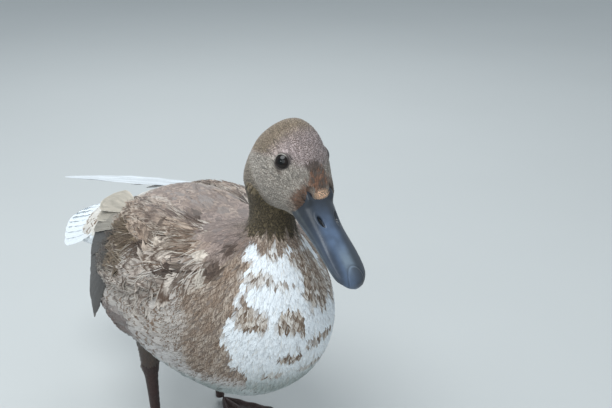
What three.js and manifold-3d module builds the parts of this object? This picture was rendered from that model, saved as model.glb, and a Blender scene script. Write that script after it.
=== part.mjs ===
// A life-size standing duck as a still display model, in millimetres.
// The duck faces -Y, its left side is +X, up is +Z, and the floor is z = 0.
import * as THREE from 'three';
import Module from 'manifold-3d';

const wasm = await Module();
wasm.setup();

// ---- placing and clearances ----
const STAND_X = 0; // shifts the duck so its box is centred on the origin
const STAND_Y = -2.1;
const GAP = 0.3; // clearance between touching solids
const TAU = 2 * Math.PI;
const RIGHT = -1; // side signs, along X
const LEFT = 1;

// ---- trunk and neck: one loft from vent to nape ----
// along: forward of the origin, height: of the section's middle, lean: tilt of the section,
// up and down: reach of the section above and below, half: half width, square: bluntness
const BODY = [
  // along, height, lean, up, down, half, square
  [-126, 154, -24, 2, 2, 3, 2.0], // vent
  [-119, 150, -22, 21, 13, 19, 2.0], // rump
  [-97, 144, -14, 38, 30, 34, 2.0],
  [-62, 138, -3, 59, 44, 53.5, 2.2], // hips
  [-22, 142, 8, 67, 60, 67, 2.2],
  [20, 151, 14, 64, 78, 73, 2.2], // shoulders
  [56, 166, 26, 51, 94, 69, 2.2], // breast
  [77, 185, 46, 37, 84, 55.5, 2.1],
  [89, 201, 64, 25, 52, 31.5, 2.0], // crop
  [96, 215, 80, 17, 23, 17.5, 2.0], // neck
  [99, 232, 87, 17, 16.5, 16.5, 2.0],
  [100, 250, 88, 19, 18, 19.5, 2.0],
  [103, 261, 90, 10, 10, 9, 2.0], // under the skull
];
const NECK_CUT = { along: 92, height: 213, lean: 18 }; // plane between trunk and neck

// ---- head and bill, in their own frame with the origin between the eyes ----
const HEAD_AT = [2, -125.5, 272.5];
const HEAD_TURN = { yaw: -0.7, pitch: 32.4, roll: 6.5 }; // degrees
const HEAD = [
  [-31.5, -12, 0, 1, 1, 1, 2.0], // nape
  [-30, -13, 0, 13, 29, 10.5, 2.0],
  [-22, -9, 0, 24.5, 43.5, 17.6, 2.1],
  [-9, -6, 0, 25.5, 42.5, 22.2, 2.0], // ears
  [6, -7, 0, 20.5, 34.5, 22.2, 2.1], // cheeks
  [18, -10, 0, 15.5, 22.5, 19.4, 2.2], // forehead and chin
  [28, -13, 0, 11, 13.5, 16.2, 2.4],
  [32, -14, 0, 7, 6, 9, 2.2],
  [35, -12, 0, 3, 1, 3, 2.0], // feathers over the bill
];
const UPPER_BILL = [
  [22, -20, 0, 16, 2, 15, 2.9], // under the forehead feathers
  [28, -20.5, 0, 15.5, 2, 15, 3.0],
  [36, -21.3, 0, 13, 2, 14, 3.0],
  [50, -22.3, 0, 9, 2, 13, 2.8], // nostrils
  [68, -24, 0, 6.2, 2, 13.8, 2.8],
  [81, -26, 0, 4.8, 2, 12.6, 2.6], // spoon
  [87.5, -27.3, 0, 3.2, 1.8, 7.8, 2.2], // nail
  [89.8, -28, 0, 1, 1, 2.4, 2.0],
];
const LOWER_BILL = [
  [20, -24, 0, 0.9, 3.6, 10.4, 2.6], // chin
  [36, -24.7, 0, 0.9, 3.2, 11, 2.8],
  [52, -25.6, 0, 0.8, 2.7, 10.8, 2.8],
  [68, -27.2, 0, 0.8, 2.2, 11.6, 2.8],
  [80, -28.8, 0, 0.6, 1.8, 10.6, 2.5],
  [86, -29.8, 0, 0.4, 1, 5, 2.0],
];
const EYE_AT = [15.7, -2, 1.3]; // out to the side, forward is -Y, above the origin
const EYE_RADIUS = 7;

// ---- folded wings, laid on the trunk's own loft ----
const WING = { from: 2.25, to: 6.75, low: 4, high: 66, lift: 4, depth: 4 };
const BLADE_THICK = 1.5;
// a blade of flight feather: root, tip, face direction, width and arch
const RIGHT_FLIGHT = [
  { root: [-42, 20, 203], tip: [-24, 97, 184], face: [-0.45, 0.15, 0.9], width: 26, arch: 5 },
  { root: [-54, 20, 194], tip: [-33, 92, 166], face: [-0.7, 0.2, 0.65], width: 22, arch: 7 },
  { root: [-60, 20, 184], tip: [-43, 87, 147], face: [-0.85, 0.3, 0.4], width: 20, arch: 7 },
  { root: [-64, 20, 174], tip: [-49, 82, 128], face: [-0.9, 0.35, 0.2], width: 19, arch: 6 },
  { root: [-66, 20, 164], tip: [-54, 78, 109], face: [-0.93, 0.35, 0], width: 18, arch: 5 },
  { root: [-67, 22, 156], tip: [-58, 67, 97], face: [-0.93, 0.3, -0.15], width: 17, arch: 4 },
];
const LEFT_FLIGHT = [
  { root: [46, 22, 198], tip: [-16, 181, 179], face: [0.15, 0.1, 0.98], width: 14, arch: 3 },
  { root: [48, 22, 195], tip: [-3, 164, 178], face: [0.25, 0.1, 0.96], width: 18, arch: 4 },
  { root: [51, 22, 191], tip: [9, 150, 174], face: [0.4, 0.1, 0.92], width: 21, arch: 6 },
  { root: [56, 22, 184], tip: [21, 136, 166], face: [0.6, 0.15, 0.78], width: 22, arch: 8 },
  { root: [60, 22, 176], tip: [31, 122, 154], face: [0.75, 0.2, 0.6], width: 22, arch: 9 },
  { root: [64, 22, 167], tip: [40, 106, 141], face: [0.85, 0.3, 0.4], width: 21, arch: 8 },
];

// ---- tail: a roof-shaped fan over a tapering root ----
const TAIL = { blades: 7, pitch: 9.6, width: 20.5, root: 108, tip: 191, droop: 0.44, height: 173 };
const TAIL_ROOF = 0.026; // fall of the fan to each side, per mm squared
const TAIL_ROOT = [
  // back from the origin, height of the middle, half height, half width
  [100, 152, 12, 22],
  [118, 152, 18, 27],
  [136, 147, 15, 27],
  [152, 141, 9, 23],
  [168, 138, 3, 14],
];

// ---- legs and webbed feet ----
const HIP = { side: 35, back: 12, height: 112, radius: 24 };
const HOCK = { side: 33, back: 25, height: 62, radius: 7.2 };
const ANKLE = { side: 33, back: 20, height: 4.4, radius: 4 };
const TOES = [
  // heading from straight ahead, length, half width at the root
  { name: 'inner', heading: -24, length: 42, half: 3.3 },
  { name: 'middle', heading: 4, length: 50, half: 3.5 },
  { name: 'outer', heading: 30, length: 46, half: 3.3 },
];
const HIND_TOE = { heading: 165, length: 12, half: 2.2 };
const TOE_TIP_HALF = 2;
const WEB_THICK = 1.6;
const CLAW = { length: 7, radius: 1.7 };

// ---- small helpers ----
const add = (a, b) => a.map((v, i) => v + b[i]);
const mix = (a, b, s) => a.map((v, i) => v + (b[i] - v) * s);
const scaled = (a, k) => a.map((v) => v * k);
const cross = (a, b) => [
  a[1] * b[2] - a[2] * b[1],
  a[2] * b[0] - a[0] * b[2],
  a[0] * b[1] - a[1] * b[0],
];
const unit = (a) => scaled(a, 1 / Math.hypot(...a));
const radians = THREE.MathUtils.degToRad;
const power = (v, p) => Math.sign(v) * Math.abs(v) ** p;

// Catmull-Rom blend of the rows of a table at the real index t
function blend(rows, t) {
  const last = rows.length - 1;
  const i = Math.min(Math.floor(t), last - 1);
  const f = t - i;
  const row = (k) => rows[Math.min(Math.max(k, 0), last)];
  const [a, b, c, d] = [row(i - 1), row(i), row(i + 1), row(i + 2)];
  return b.map((v, k) => {
    const slope = c[k] - a[k];
    const bend = 2 * a[k] - 5 * v + 4 * c[k] - d[k];
    const twist = 3 * v - a[k] - 3 * c[k] + d[k];
    return v + 0.5 * (slope * f + bend * f * f + twist * f ** 3);
  });
}

// Point of a loft at station t and angle phi (0 at the left side, a quarter turn at the top)
function loftPoint(rows, t, phi, lift = 0) {
  const [along, height, lean, up, down, half, square] = blend(rows, t);
  const c = Math.cos(phi);
  const s = Math.sin(phi);
  const reach = (s > 0 ? Math.max(up, 0.4) : Math.max(down, 0.4)) + lift;
  const x = (Math.max(half, 0.4) + lift) * power(c, 2 / square);
  const v = reach * power(s, 2 / square);
  const tilt = radians(lean);
  return [x, -(along - Math.sin(tilt) * v), height + Math.cos(tilt) * v];
}

// Closed solid through rings of points; the first and last ring are capped flat
function ringSolid(rings) {
  const m = rings[0].length;
  const points = rings.flat();
  const triangles = [];
  for (let i = 0; i + 1 < rings.length; i++) {
    for (let j = 0; j < m; j++) {
      const a = i * m + j;
      const b = i * m + ((j + 1) % m);
      triangles.push([a, b, b + m], [a, b + m, a + m]);
    }
  }
  const foot = points.length;
  points.push(scaled(rings[0].reduce(add), 1 / m));
  points.push(scaled(rings.at(-1).reduce(add), 1 / m));
  const top = (rings.length - 1) * m;
  for (let j = 0; j < m; j++) {
    triangles.push([foot, (j + 1) % m, j], [foot + 1, top + j, top + ((j + 1) % m)]);
  }
  const volume = triangles.reduce((sum, [a, b, c]) => {
    const n = cross(points[b], points[c]);
    return sum + points[a].reduce((dot, v, k) => dot + v * n[k], 0);
  }, 0);
  const outward = volume > 0 ? triangles : triangles.map(([a, b, c]) => [a, c, b]);
  return new wasm.Manifold(
    new wasm.Mesh({
      numProp: 3,
      vertProperties: Float32Array.from(points.flat()),
      triVerts: Uint32Array.from(outward.flat()),
    }),
  );
}

// Rings of a surface given by a function of s (0 to 1 along) and phi (around)
function sweep(along, around, surface, spread = (s) => s) {
  const rings = [];
  for (let i = 0; i <= along; i++) {
    const ring = [];
    for (let j = 0; j < around; j++) {
      ring.push(surface(spread(i / along), (TAU * j) / around));
    }
    rings.push(ring);
  }
  return ringSolid(rings);
}

const loft = (rows, along, around, lift = 0, place = (p) => p) =>
  sweep(along, around, (s, phi) => place(loftPoint(rows, s * (rows.length - 1), phi, lift)));

// Solid of a three.js geometry, with its corners joined
function boxSolid(size, centre, pitch = 0) {
  const geometry = new THREE.BoxGeometry(...size);
  geometry.rotateX(pitch);
  geometry.translate(...centre);
  return fromGeometry(geometry);
}

function fromGeometry(geometry) {
  const key = new Map();
  const points = [];
  const position = geometry.attributes.position;
  const slot = [];
  for (let i = 0; i < position.count; i++) {
    const p = [position.getX(i), position.getY(i), position.getZ(i)];
    const name = p.map((v) => v.toFixed(4)).join();
    if (!key.has(name)) {
      key.set(name, points.length);
      points.push(p);
    }
    slot.push(key.get(name));
  }
  const index = Array.from(geometry.index.array, (i) => slot[i]);
  const triangles = [];
  for (let i = 0; i < index.length; i += 3) {
    const t = index.slice(i, i + 3);
    if (new Set(t).size === 3) triangles.push(...t);
  }
  return new wasm.Manifold(
    new wasm.Mesh({
      numProp: 3,
      vertProperties: Float32Array.from(points.flat()),
      triVerts: Uint32Array.from(triangles),
    }),
  );
}

// ---- head frame to duck frame ----
const headMatrix = new THREE.Matrix4()
  .makeTranslation(...HEAD_AT)
  .multiply(new THREE.Matrix4().makeRotationZ(radians(HEAD_TURN.yaw)))
  .multiply(new THREE.Matrix4().makeRotationX(radians(HEAD_TURN.pitch)))
  .multiply(new THREE.Matrix4().makeRotationY(radians(HEAD_TURN.roll)));
const onHead = (p) => new THREE.Vector3(...p).applyMatrix4(headMatrix).toArray();

// ---- a feather blade: a thin vane with a rounded tip ----
function blade({ root, tip, face, width, arch }, lift = 0) {
  const run = tip.map((v, i) => v - root[i]);
  const side = unit(cross(run, face));
  const out = unit(cross(side, run));
  return sweep(
    5,
    6,
    (s, phi) => {
      const taper = s < 0.55 ? 0.7 + 0.3 * (s / 0.55) : Math.sqrt(1 - ((s - 0.55) / 0.46) ** 2);
      const w = (width / 2) * taper + lift;
      const h = (BLADE_THICK / 2) * (1.5 - 0.9 * s) + lift;
      const bow = arch * 4 * s * (1 - s);
      const middle = add(mix(root, tip, s), scaled(out, bow));
      return add(middle, add(scaled(side, w * Math.cos(phi)), scaled(out, h * Math.sin(phi))));
    },
    (s) => 1 - (1 - s) ** 1.4,
  );
}

// ---- a folded wing: a sheet over the trunk from shoulder to rump, with its flight feathers ----
function wing(side, blades, lift = 0) {
  const arc = 7;
  const rings = [];
  for (let i = 0; i <= 12; i++) {
    const s = i / 12;
    const t = WING.from + (WING.to - WING.from) * s;
    const round = Math.sqrt(Math.max(1 - Math.abs(2 * s - 1) ** 3, 0.02));
    const middle = (WING.low + WING.high) / 2;
    const reach = ((WING.high - WING.low) / 2) * round + lift;
    const ring = [];
    for (let j = 0; j <= arc; j++) {
      const v = j / arc;
      const bulge = WING.lift * round * Math.sin(Math.PI * v) ** 0.5;
      ring.push([t, middle - reach + 2 * reach * v, bulge + lift]);
    }
    for (let j = 3; j >= 0; j--) {
      const v = j / 3;
      ring.push([t, middle - reach + 2 * reach * v, -WING.depth * round - 0.5 - lift]);
    }
    rings.push(
      ring.map(([a, angle, rise]) => {
        const p = loftPoint(BODY, a, radians(angle), rise);
        return [p[0] * side, p[1], p[2]];
      }),
    );
  }
  return blades.reduce((whole, b) => whole.add(blade(b, lift)), ringSolid(rings));
}

// ---- tail fan and its tapering root ----
function tail(lift = 0) {
  const last = TAIL_ROOT.length - 1;
  let whole = sweep(4, 10, (s, phi) => {
    const [back, height, high, wide] = blend(TAIL_ROOT, s * last);
    const x = (wide + lift) * Math.cos(phi);
    const z = height + (high + lift) * Math.sin(phi) - (TAIL_ROOF / 2) * x * x;
    return [x, back + (2 * s - 1) * lift, z];
  });
  const middle = (TAIL.blades - 1) / 2;
  for (let k = -middle; k <= middle; k++) {
    const x = k * TAIL.pitch;
    const back = TAIL.tip - 2.6 * k * k;
    const roof = (px, py) => TAIL.height - TAIL.droop * (py - TAIL.root) - TAIL_ROOF * px * px;
    const low = k % 2 === 0 ? 0 : -1;
    const feather = {
      root: [x * 0.6, TAIL.root, roof(x * 0.6, TAIL.root) - 5 + low],
      tip: [x, back, roof(x, back) + low],
      face: [2 * TAIL_ROOF * x, TAIL.droop, 1],
      width: TAIL.width,
      arch: 2,
    };
    whole = whole.add(blade(feather, lift));
  }
  return whole;
}

// ---- a round limb between two stations, on one side of the duck ----
function limb(side, from, to, around, flat = 1, lift = 0) {
  return sweep(4, around, (s, phi) => {
    const radius = from.radius + (to.radius - from.radius) * Math.sqrt(s) + lift;
    const x = from.side + (to.side - from.side) * s;
    const y = from.back + (to.back - from.back) * s;
    const z = from.height + (to.height - from.height) * s + (1 - 2 * s) * lift;
    return [side * (x + flat * radius * Math.cos(phi)), y + radius * Math.sin(phi), z];
  });
}

// ---- toes, web and claws ----
const heading = (side, degrees) => [
  side * Math.sin(radians(degrees)),
  -Math.cos(radians(degrees)),
  0,
];
const footAt = (side) => [side * ANKLE.side, ANKLE.back - 3, 0];

function toe(side, spec, lift = 0) {
  const way = heading(side, spec.heading);
  const across = [way[1], -way[0], 0];
  return sweep(4, 6, (s, phi) => {
    const knuckle = 0.35 * Math.cos(s * 3 * TAU) * (1 - s);
    const r = spec.half + (TOE_TIP_HALF - spec.half) * s + knuckle + lift;
    const middle = add(footAt(side), scaled(way, spec.length * s + (2 * s - 1) * lift));
    const rise = r * 0.8 + r * Math.sin(phi) - 0.25;
    return add(add(middle, scaled(across, r * Math.cos(phi))), [0, 0, rise]);
  });
}

function claw(side, spec, lift = 0) {
  const way = heading(side, spec.heading);
  const across = [way[1], -way[0], 0];
  return sweep(4, 5, (s, phi) => {
    const r = CLAW.radius * (1 - 0.8 * s) + lift;
    const ahead = spec.length - 2.2 + CLAW.length * s + (2 * s - 1) * lift;
    const height = 2.5 + 0.8 * Math.sin(s * Math.PI) - 0.9 * s * s;
    const middle = add(footAt(side), scaled(way, ahead));
    return add(add(middle, scaled(across, 0.8 * r * Math.cos(phi))), [
      0,
      0,
      height + r * Math.sin(phi),
    ]);
  });
}

// Web between two neighbouring toes: a thin sheet with a hollowed front edge
function web(side, first, second) {
  const rings = [];
  for (let i = 0; i <= 4; i++) {
    const s = 0.06 + (0.9 * i) / 4;
    const ring = [];
    for (let j = 0; j <= 4; j++) {
      const v = j / 4;
      const angle = first.heading + (second.heading - first.heading) * v;
      const length = first.length + (second.length - first.length) * v;
      const hollow = 1 - 0.2 * Math.sin(Math.PI * v);
      const p = add(footAt(side), scaled(heading(side, angle), length * hollow * s));
      ring.push([p[0], p[1], WEB_THICK - 0.5 * s]);
    }
    rings.push([...ring, ...ring.toReversed().map((p) => [p[0], p[1], -0.4])]);
  }
  return ringSolid(rings);
}

const aboveFloor = boxSolid([600, 600, 400], [0, 0, 200]);

function foot(side, lift = 0) {
  let whole = toe(side, HIND_TOE, lift);
  for (const spec of TOES) whole = whole.add(toe(side, spec, lift));
  whole = whole.add(web(side, TOES[0], TOES[1])).add(web(side, TOES[1], TOES[2]));
  return whole.intersect(aboveFloor);
}

// ---- solids ----
const bodyLoft = loft(BODY, 25, 22);
const bodyGrown = loft(BODY, 25, 22, GAP);
const headLoft = loft(HEAD, 15, 17, 0, onHead);
const headGrown = loft(HEAD, 15, 17, GAP, onHead);

const aheadBox = (shift) =>
  boxSolid(
    [300, 300, 200],
    [
      0,
      -NECK_CUT.along - Math.sin(radians(NECK_CUT.lean)) * (100 + shift),
      NECK_CUT.height + Math.cos(radians(NECK_CUT.lean)) * (100 + shift),
    ],
    radians(NECK_CUT.lean),
  );

const ball = (radius, side) => {
  const geometry = new THREE.SphereGeometry(radius, 11, 7);
  geometry.rotateZ(Math.PI / 2);
  const centre = onHead([side * EYE_AT[0], EYE_AT[1], EYE_AT[2]]);
  geometry.translate(...centre);
  return fromGeometry(geometry);
};

const solids = new Map();
const cuts = [
  wing(RIGHT, RIGHT_FLIGHT, GAP),
  wing(LEFT, LEFT_FLIGHT, GAP),
  tail(GAP),
  aheadBox(0),
];
solids.set('trunk', cuts.reduce((whole, cut) => whole.subtract(cut), bodyLoft));
solids.set('neck', bodyLoft.intersect(aheadBox(GAP)).subtract(headGrown));
solids.set(
  'head',
  headLoft.subtract(ball(EYE_RADIUS + GAP, RIGHT)).subtract(ball(EYE_RADIUS + GAP, LEFT)),
);
solids.set('bill_upper', loft(UPPER_BILL, 10, 10, 0, onHead).subtract(headGrown));
solids.set(
  'bill_lower',
  loft(LOWER_BILL, 8, 10, 0, onHead).subtract(headGrown).subtract(bodyGrown),
);
const tailSolid = tail();
solids.set('tail', tailSolid);
solids.set('wing_right', wing(RIGHT, RIGHT_FLIGHT).subtract(tail(GAP)));
solids.set('wing_left', wing(LEFT, LEFT_FLIGHT).subtract(tail(GAP)));
for (const [name, side] of [
  ['right', RIGHT],
  ['left', LEFT],
]) {
  solids.set(`eye_${name}`, ball(EYE_RADIUS, side));
  const shank = limb(side, HOCK, ANKLE, 8, 0.85);
  const shankGrown = limb(side, HOCK, ANKLE, 8, 0.85, GAP);
  solids.set(`thigh_${name}`, limb(side, HIP, HOCK, 12).subtract(bodyGrown).subtract(shankGrown));
  solids.set(`shank_${name}`, shank);
  const claws = [...TOES, { ...HIND_TOE, name: 'hind' }];
  let foothold = foot(side).subtract(shankGrown);
  for (const spec of claws) {
    foothold = foothold.subtract(claw(side, spec, GAP));
    solids.set(`claw_${spec.name}_${name}`, claw(side, spec));
  }
  solids.set(`foot_${name}`, foothold);
}

// ---- named meshes with their colours ----
const LOOKS = [
  // start of the name, colour, roughness
  ['bill', 0x7d8fa3, 0.45],
  ['eye', 0x1c120c, 0.1],
  ['claw', 0x2a2422, 0.5],
  ['shank', 0x5a3a30, 0.6],
  ['foot', 0x5a3a30, 0.6],
  ['neck', 0x7c6f60, 0.9],
  ['head', 0x8a7a70, 0.9],
  ['tail', 0xeef0ea, 0.85],
  ['wing', 0x9a8a78, 0.85],
  ['', 0xb5a898, 0.9],
];

const group = new THREE.Group();
group.name = 'duck';
for (const [name, solid] of solids) {
  const mesh = solid.getMesh();
  const geometry = new THREE.BufferGeometry();
  const points = Float32Array.from(mesh.vertProperties);
  geometry.setAttribute('position', new THREE.BufferAttribute(points, 3));
  geometry.setIndex(Array.from(mesh.triVerts));
  geometry.translate(STAND_X, STAND_Y, 0);
  const [, color, roughness] = LOOKS.find(([start]) => name.startsWith(start));
  const material = new THREE.MeshStandardMaterial({ color, roughness, metalness: 0 });
  const node = new THREE.Mesh(geometry, material);
  node.name = name;
  group.add(node);
}

export default group;
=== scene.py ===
"""A standing duck, life size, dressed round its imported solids: one skin, a coat of closed feather meshes that
lie along the body, quills on wings and tail, a horny bill, glossy eyes, scaly legs and webbed feet.

Lengths in the shape tables are millimetres; every mesh is turned to metres as it is made.
The bird faces -Y, its left is +X, and up is +Z.
"""

import math
from types import SimpleNamespace

import bpy
import numpy as np
from bpy.props import FloatProperty, FloatVectorProperty, PointerProperty
from mathutils import Matrix, Vector


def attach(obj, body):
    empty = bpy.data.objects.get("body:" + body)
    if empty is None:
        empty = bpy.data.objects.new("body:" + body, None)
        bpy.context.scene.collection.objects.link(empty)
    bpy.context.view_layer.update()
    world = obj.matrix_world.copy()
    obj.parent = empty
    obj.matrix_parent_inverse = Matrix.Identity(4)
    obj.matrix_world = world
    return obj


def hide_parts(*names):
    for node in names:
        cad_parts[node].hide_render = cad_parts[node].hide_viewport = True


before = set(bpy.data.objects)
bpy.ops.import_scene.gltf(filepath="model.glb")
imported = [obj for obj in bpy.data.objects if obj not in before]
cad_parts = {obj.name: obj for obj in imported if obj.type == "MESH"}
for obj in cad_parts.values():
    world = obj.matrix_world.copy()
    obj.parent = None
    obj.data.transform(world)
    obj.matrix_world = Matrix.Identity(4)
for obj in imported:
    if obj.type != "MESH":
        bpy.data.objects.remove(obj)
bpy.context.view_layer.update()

bl_info = {
    "name": "Standing duck",
    "version": (1, 0, 0),
    "blender": (4, 5, 0),
    "location": "3D View > Sidebar > Duck",
    "description": "Builds the coat, bill, eyes and legs of a standing duck round its packed solids",
    "category": "Object",
}

MM = 0.001
TAU = 2 * np.pi
SIDES = ((1, "left"), (-1, "right"))
FROM_BELOW = (-np.pi / 2, np.pi * 1.5)  # a full circle of turns that begins at the belly

# ------------------------------------------------------------------ sizes shared with the solids

STAND_Y = -2.1

# Rows of a loft: along, height, lean (degrees), reach up, reach down, half width, squareness of the section.
BODY = [
    [-126, 154, -24, 2, 2, 3, 2.0],
    [-119, 150, -22, 21, 13, 19, 2.0],
    [-97, 144, -14, 38, 30, 34, 2.0],
    [-62, 138, -3, 59, 44, 53.5, 2.2],
    [-22, 142, 8, 67, 60, 67, 2.2],
    [20, 151, 14, 64, 78, 73, 2.2],
    [56, 166, 26, 51, 94, 69, 2.2],
    [77, 185, 46, 37, 84, 55.5, 2.1],
    [89, 201, 64, 25, 52, 31.5, 2.0],
    [96, 215, 80, 17, 23, 17.5, 2.0],
    [99, 232, 87, 17, 16.5, 16.5, 2.0],
    [100, 250, 88, 19, 18, 19.5, 2.0],
    [103, 261, 90, 10, 10, 9, 2.0],
]
NECK_ROW = 8.35  # the loft index where the neck's small feathers take over from the breast's

HEAD_AT = np.array([2, -125.5 + STAND_Y, 272.5])
HEAD_TURN = {"yaw": -0.7, "pitch": 32.4, "roll": 6.5}
HEAD = [
    [-31.5, -12, 0, 1, 1, 1, 2],
    [-30, -13, 0, 13, 29, 10.5, 2],
    [-22, -9, 0, 24.5, 43.5, 17.6, 2.1],
    [-9, -6, 0, 25.5, 42.5, 22.2, 2],
    [6, -7, 0, 20.5, 34.5, 22.2, 2.1],
    [18, -10, 0, 15.5, 22.5, 19.4, 2.2],
    [28, -13, 0, 11, 13.5, 16.2, 2.4],
    [32, -14, 0, 7, 6, 9, 2.2],
    [35, -12, 0, 3, 1, 3, 2],
]
UPPER_BILL = [
    [22, -20, 0, 16, 2, 15, 2.9],
    [28, -20.5, 0, 15.5, 2, 15, 3],
    [36, -21.3, 0, 13, 2, 14, 3],
    [50, -22.3, 0, 9, 2, 13, 2.8],
    [68, -24, 0, 6.2, 2, 13.8, 2.8],
    [81, -26, 0, 4.8, 2, 12.6, 2.6],
    [87.5, -27.3, 0, 3.2, 1.8, 7.8, 2.2],
    [89.8, -28, 0, 1, 1, 2.4, 2.0],
]
LOWER_BILL = [
    [20, -24, 0, 0.9, 3.6, 10.4, 2.6],
    [36, -24.7, 0, 0.9, 3.2, 11, 2.8],
    [52, -25.6, 0, 0.8, 2.7, 10.8, 2.8],
    [68, -27.2, 0, 0.8, 2.2, 11.6, 2.8],
    [80, -28.8, 0, 0.6, 1.8, 10.6, 2.5],
    [86, -29.8, 0, 0.4, 1, 5, 2],
]
EYE_AT = np.array([15.7, -2.0, 1.3])  # in the head's own frame, on its left
EYE_RADIUS = 7.0
EYE_FACES = np.array([0.876, -0.171, 0.451])  # the way the left eye looks
# Where pupil and iris end, in degrees off the eye's axis, how softly, and how light pupil and socket are.
PUPIL_RIM, PUPIL_TONE = (17, 4), 0.002
IRIS_RIM, SOCKET_TONE = (36, 6), 0.003
LID = {"wide": 4.9, "tall": 4.2, "outer": 5.9, "thick": 0.3}
NOSTRIL = {"ahead": 44.5, "side": 7.0, "long": 4.0, "wide": 1.45}
NAIL = {"ahead": 86.5, "long": 8.5, "wide": 6.4}

WING = {"from": 2.25, "to": 6.75, "low": 4, "high": 66, "lift": 4}
# Flight feathers: root, tip, the way the flat faces, width, and how far the middle bows out.
RIGHT_FLIGHT = [
    ([-42, 20, 203], [-24, 97, 184], [-0.45, 0.15, 0.9], 26, 5),
    ([-54, 20, 194], [-33, 92, 166], [-0.7, 0.2, 0.65], 22, 7),
    ([-60, 20, 184], [-43, 87, 147], [-0.85, 0.3, 0.4], 20, 7),
    ([-64, 20, 174], [-49, 82, 128], [-0.9, 0.35, 0.2], 19, 6),
    ([-66, 20, 164], [-54, 78, 109], [-0.93, 0.35, 0], 18, 5),
    ([-67, 22, 156], [-58, 67, 97], [-0.93, 0.3, -0.15], 17, 4),
]
LEFT_FLIGHT = [
    ([46, 22, 198], [-16, 181, 179], [-0.45, 0.0, 0.85], 9, 3),
    ([48, 22, 195], [-3, 164, 178], [-0.1, 0.05, 0.98], 12, 4),
    ([51, 22, 191], [9, 150, 174], [0.4, 0.1, 0.92], 21, 6),
    ([56, 22, 184], [21, 136, 166], [0.6, 0.15, 0.78], 22, 8),
    ([60, 22, 176], [31, 122, 154], [0.75, 0.2, 0.6], 22, 9),
    ([64, 22, 167], [40, 106, 141], [0.85, 0.3, 0.4], 21, 8),
]
TAIL = {"blades": 7, "pitch": 9.6, "width": 25, "root": 108, "tip": 191, "droop": 0.44, "height": 173}
TAIL_ROOF = 0.026
# Rows of the tail's root: how far back, height, half height, half width.
TAIL_ROOT = [
    [100, 152, 12, 22],
    [118, 152, 18, 27],
    [136, 147, 15, 27],
    [152, 141, 9, 23],
    [168, 138, 3, 14],
]
HIP = {"side": 35, "back": 12, "height": 112, "radius": 24}
HOCK = {"side": 33, "back": 25, "height": 62, "radius": 7.2}
ANKLE = {"side": 33, "back": 20, "height": 4.4, "radius": 4}
# Toes: degrees outward, length, half width.
TOES = {"inner": (-24, 42, 3.3), "middle": (4, 50, 3.5), "outer": (30, 46, 3.3)}
HIND_TOE = (165, 12, 2.2)
# How far the web's edge reaches, by degrees outward.
WEB_EDGE = ([-33, -24, 4, 30, 39], [9, 34, 38, 36, 9])
WEB_THICK = 1.6
CLAW = {"length": 7, "radius": 1.7}

# The camera, in metres and degrees, and how many of the 612 pixels across make one focal length.
CAMERA_AT = (-0.391, -0.5861, 0.480)
CAMERA_TURN = {"azimuth": -41.0, "elevation": 21.7}
FOCAL_PIXELS = 965
IMAGE_WIDTH = 612
SENSOR = 36.0

# Soft round lamps: place in metres, size, watts. All face one point.
LAMPS = {
    "Key": ((-0.5, -0.1, 1.3), 0.9, 13),
    "Fill": ((-1.1, -0.9, 0.9), 1.0, 4),
    "Rim": ((0.7, 0.9, 1.2), 0.9, 7),
}
LAMP_AIM = (0, 0, 0.15)
LAMP_COLOUR = (0.92, 0.97, 1.0)
SKY = {"colour": (0.80, 0.91, 1.0, 1), "strength": 0.62}
FLOOR_REACH = 2500

SKIN_DEPTH = 2.3  # how far the skin lies inside the trunk's solid
HEAD_SKIN_DEPTH = 1.2


# ------------------------------------------------------------------ colour

def linear(code):
    """An sRGB hex colour as linear red, green and blue."""
    parts = np.array([int(code[i:i + 2], 16) for i in (1, 3, 5)]) / 255
    light = np.where(parts <= 0.04045, parts / 12.92, ((parts + 0.055) / 1.055) ** 2.4)
    return tuple(float(x) for x in light)


def paint(name, description, code):
    """A colour setting whose default is an sRGB hex value."""
    return FloatVectorProperty(name=name, description=description, subtype="COLOR", size=3, min=0, max=1,
                               default=linear(code))


def length_of(name, description, size):
    """A length setting, given in millimetres and kept in metres."""
    return FloatProperty(name=name, description=description, default=size * MM, min=0.0001, unit="LENGTH",
                         subtype="DISTANCE", precision=4)


class DuckColours(bpy.types.PropertyGroup):
    crown: paint("Crown", "Grey-brown with a purple cast, on the crown", "#a39491")
    cheek: paint("Cheek", "Pale grey-brown of the cheek", "#9f978d")
    fleck: paint("Fleck", "Dark fleck of head feathers", "#5a4b43")
    nape: paint("Nape", "Rusty olive down the back of the head", "#736650")
    rust: paint("Rust", "Rust-brown of the forehead by the bill", "#8f6248")
    tan: paint("Tan", "Pale tan tip of the forehead feathering", "#d0ad90")
    lore: paint("Lore", "Dark rusty brown between eye and bill", "#604535")
    neck: paint("Neck", "Olive brown of the neck", "#5e533f")
    neck_dark: paint("Neck streak", "Dark streaks of the neck", "#362e24")
    white: paint("White", "White of bib and tail", "#e8ecef")
    cream: paint("Cream", "Cream fringes and flank ground", "#dcd3c6")
    brown: paint("Brown", "Brown of marks and back", "#7b6350")
    # umber in the hollows of the plumage stands for dark down there and for painted shade
    umber: paint("Umber", "Dark brown of hollows and centres", "#463830")
    mauve: paint("Mauve", "Grey-purple brown of the mantle", "#84756f")
    ochre: paint("Ochre", "Olive-ochre streaks behind the wing", "#5b4a33")
    # the belly's grey is partly painted shade under the body
    belly: paint("Belly", "Grey-white of the belly", "#8f9895")
    slate: paint("Flight grey", "Dark grey of the flight feathers", "#46433f")
    bill: paint("Bill", "Slate blue of the bill", "#566882")
    bill_dark: paint("Bill shade", "Near-black of the bill's base, edge and nail", "#1f242c")
    # the legs' red-brown is made darker as painted shade
    leg: paint("Leg", "Dark red-brown of legs and feet", "#3f2722")
    web: paint("Web", "Darker web between the toes", "#382925")
    claw: paint("Claw", "Horn of the claws", "#2a2421")
    iris: paint("Iris", "Very dark brown of the iris", "#170e0a")
    floor: paint("Floor", "Pale matte floor", "#bfc0be")


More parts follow.
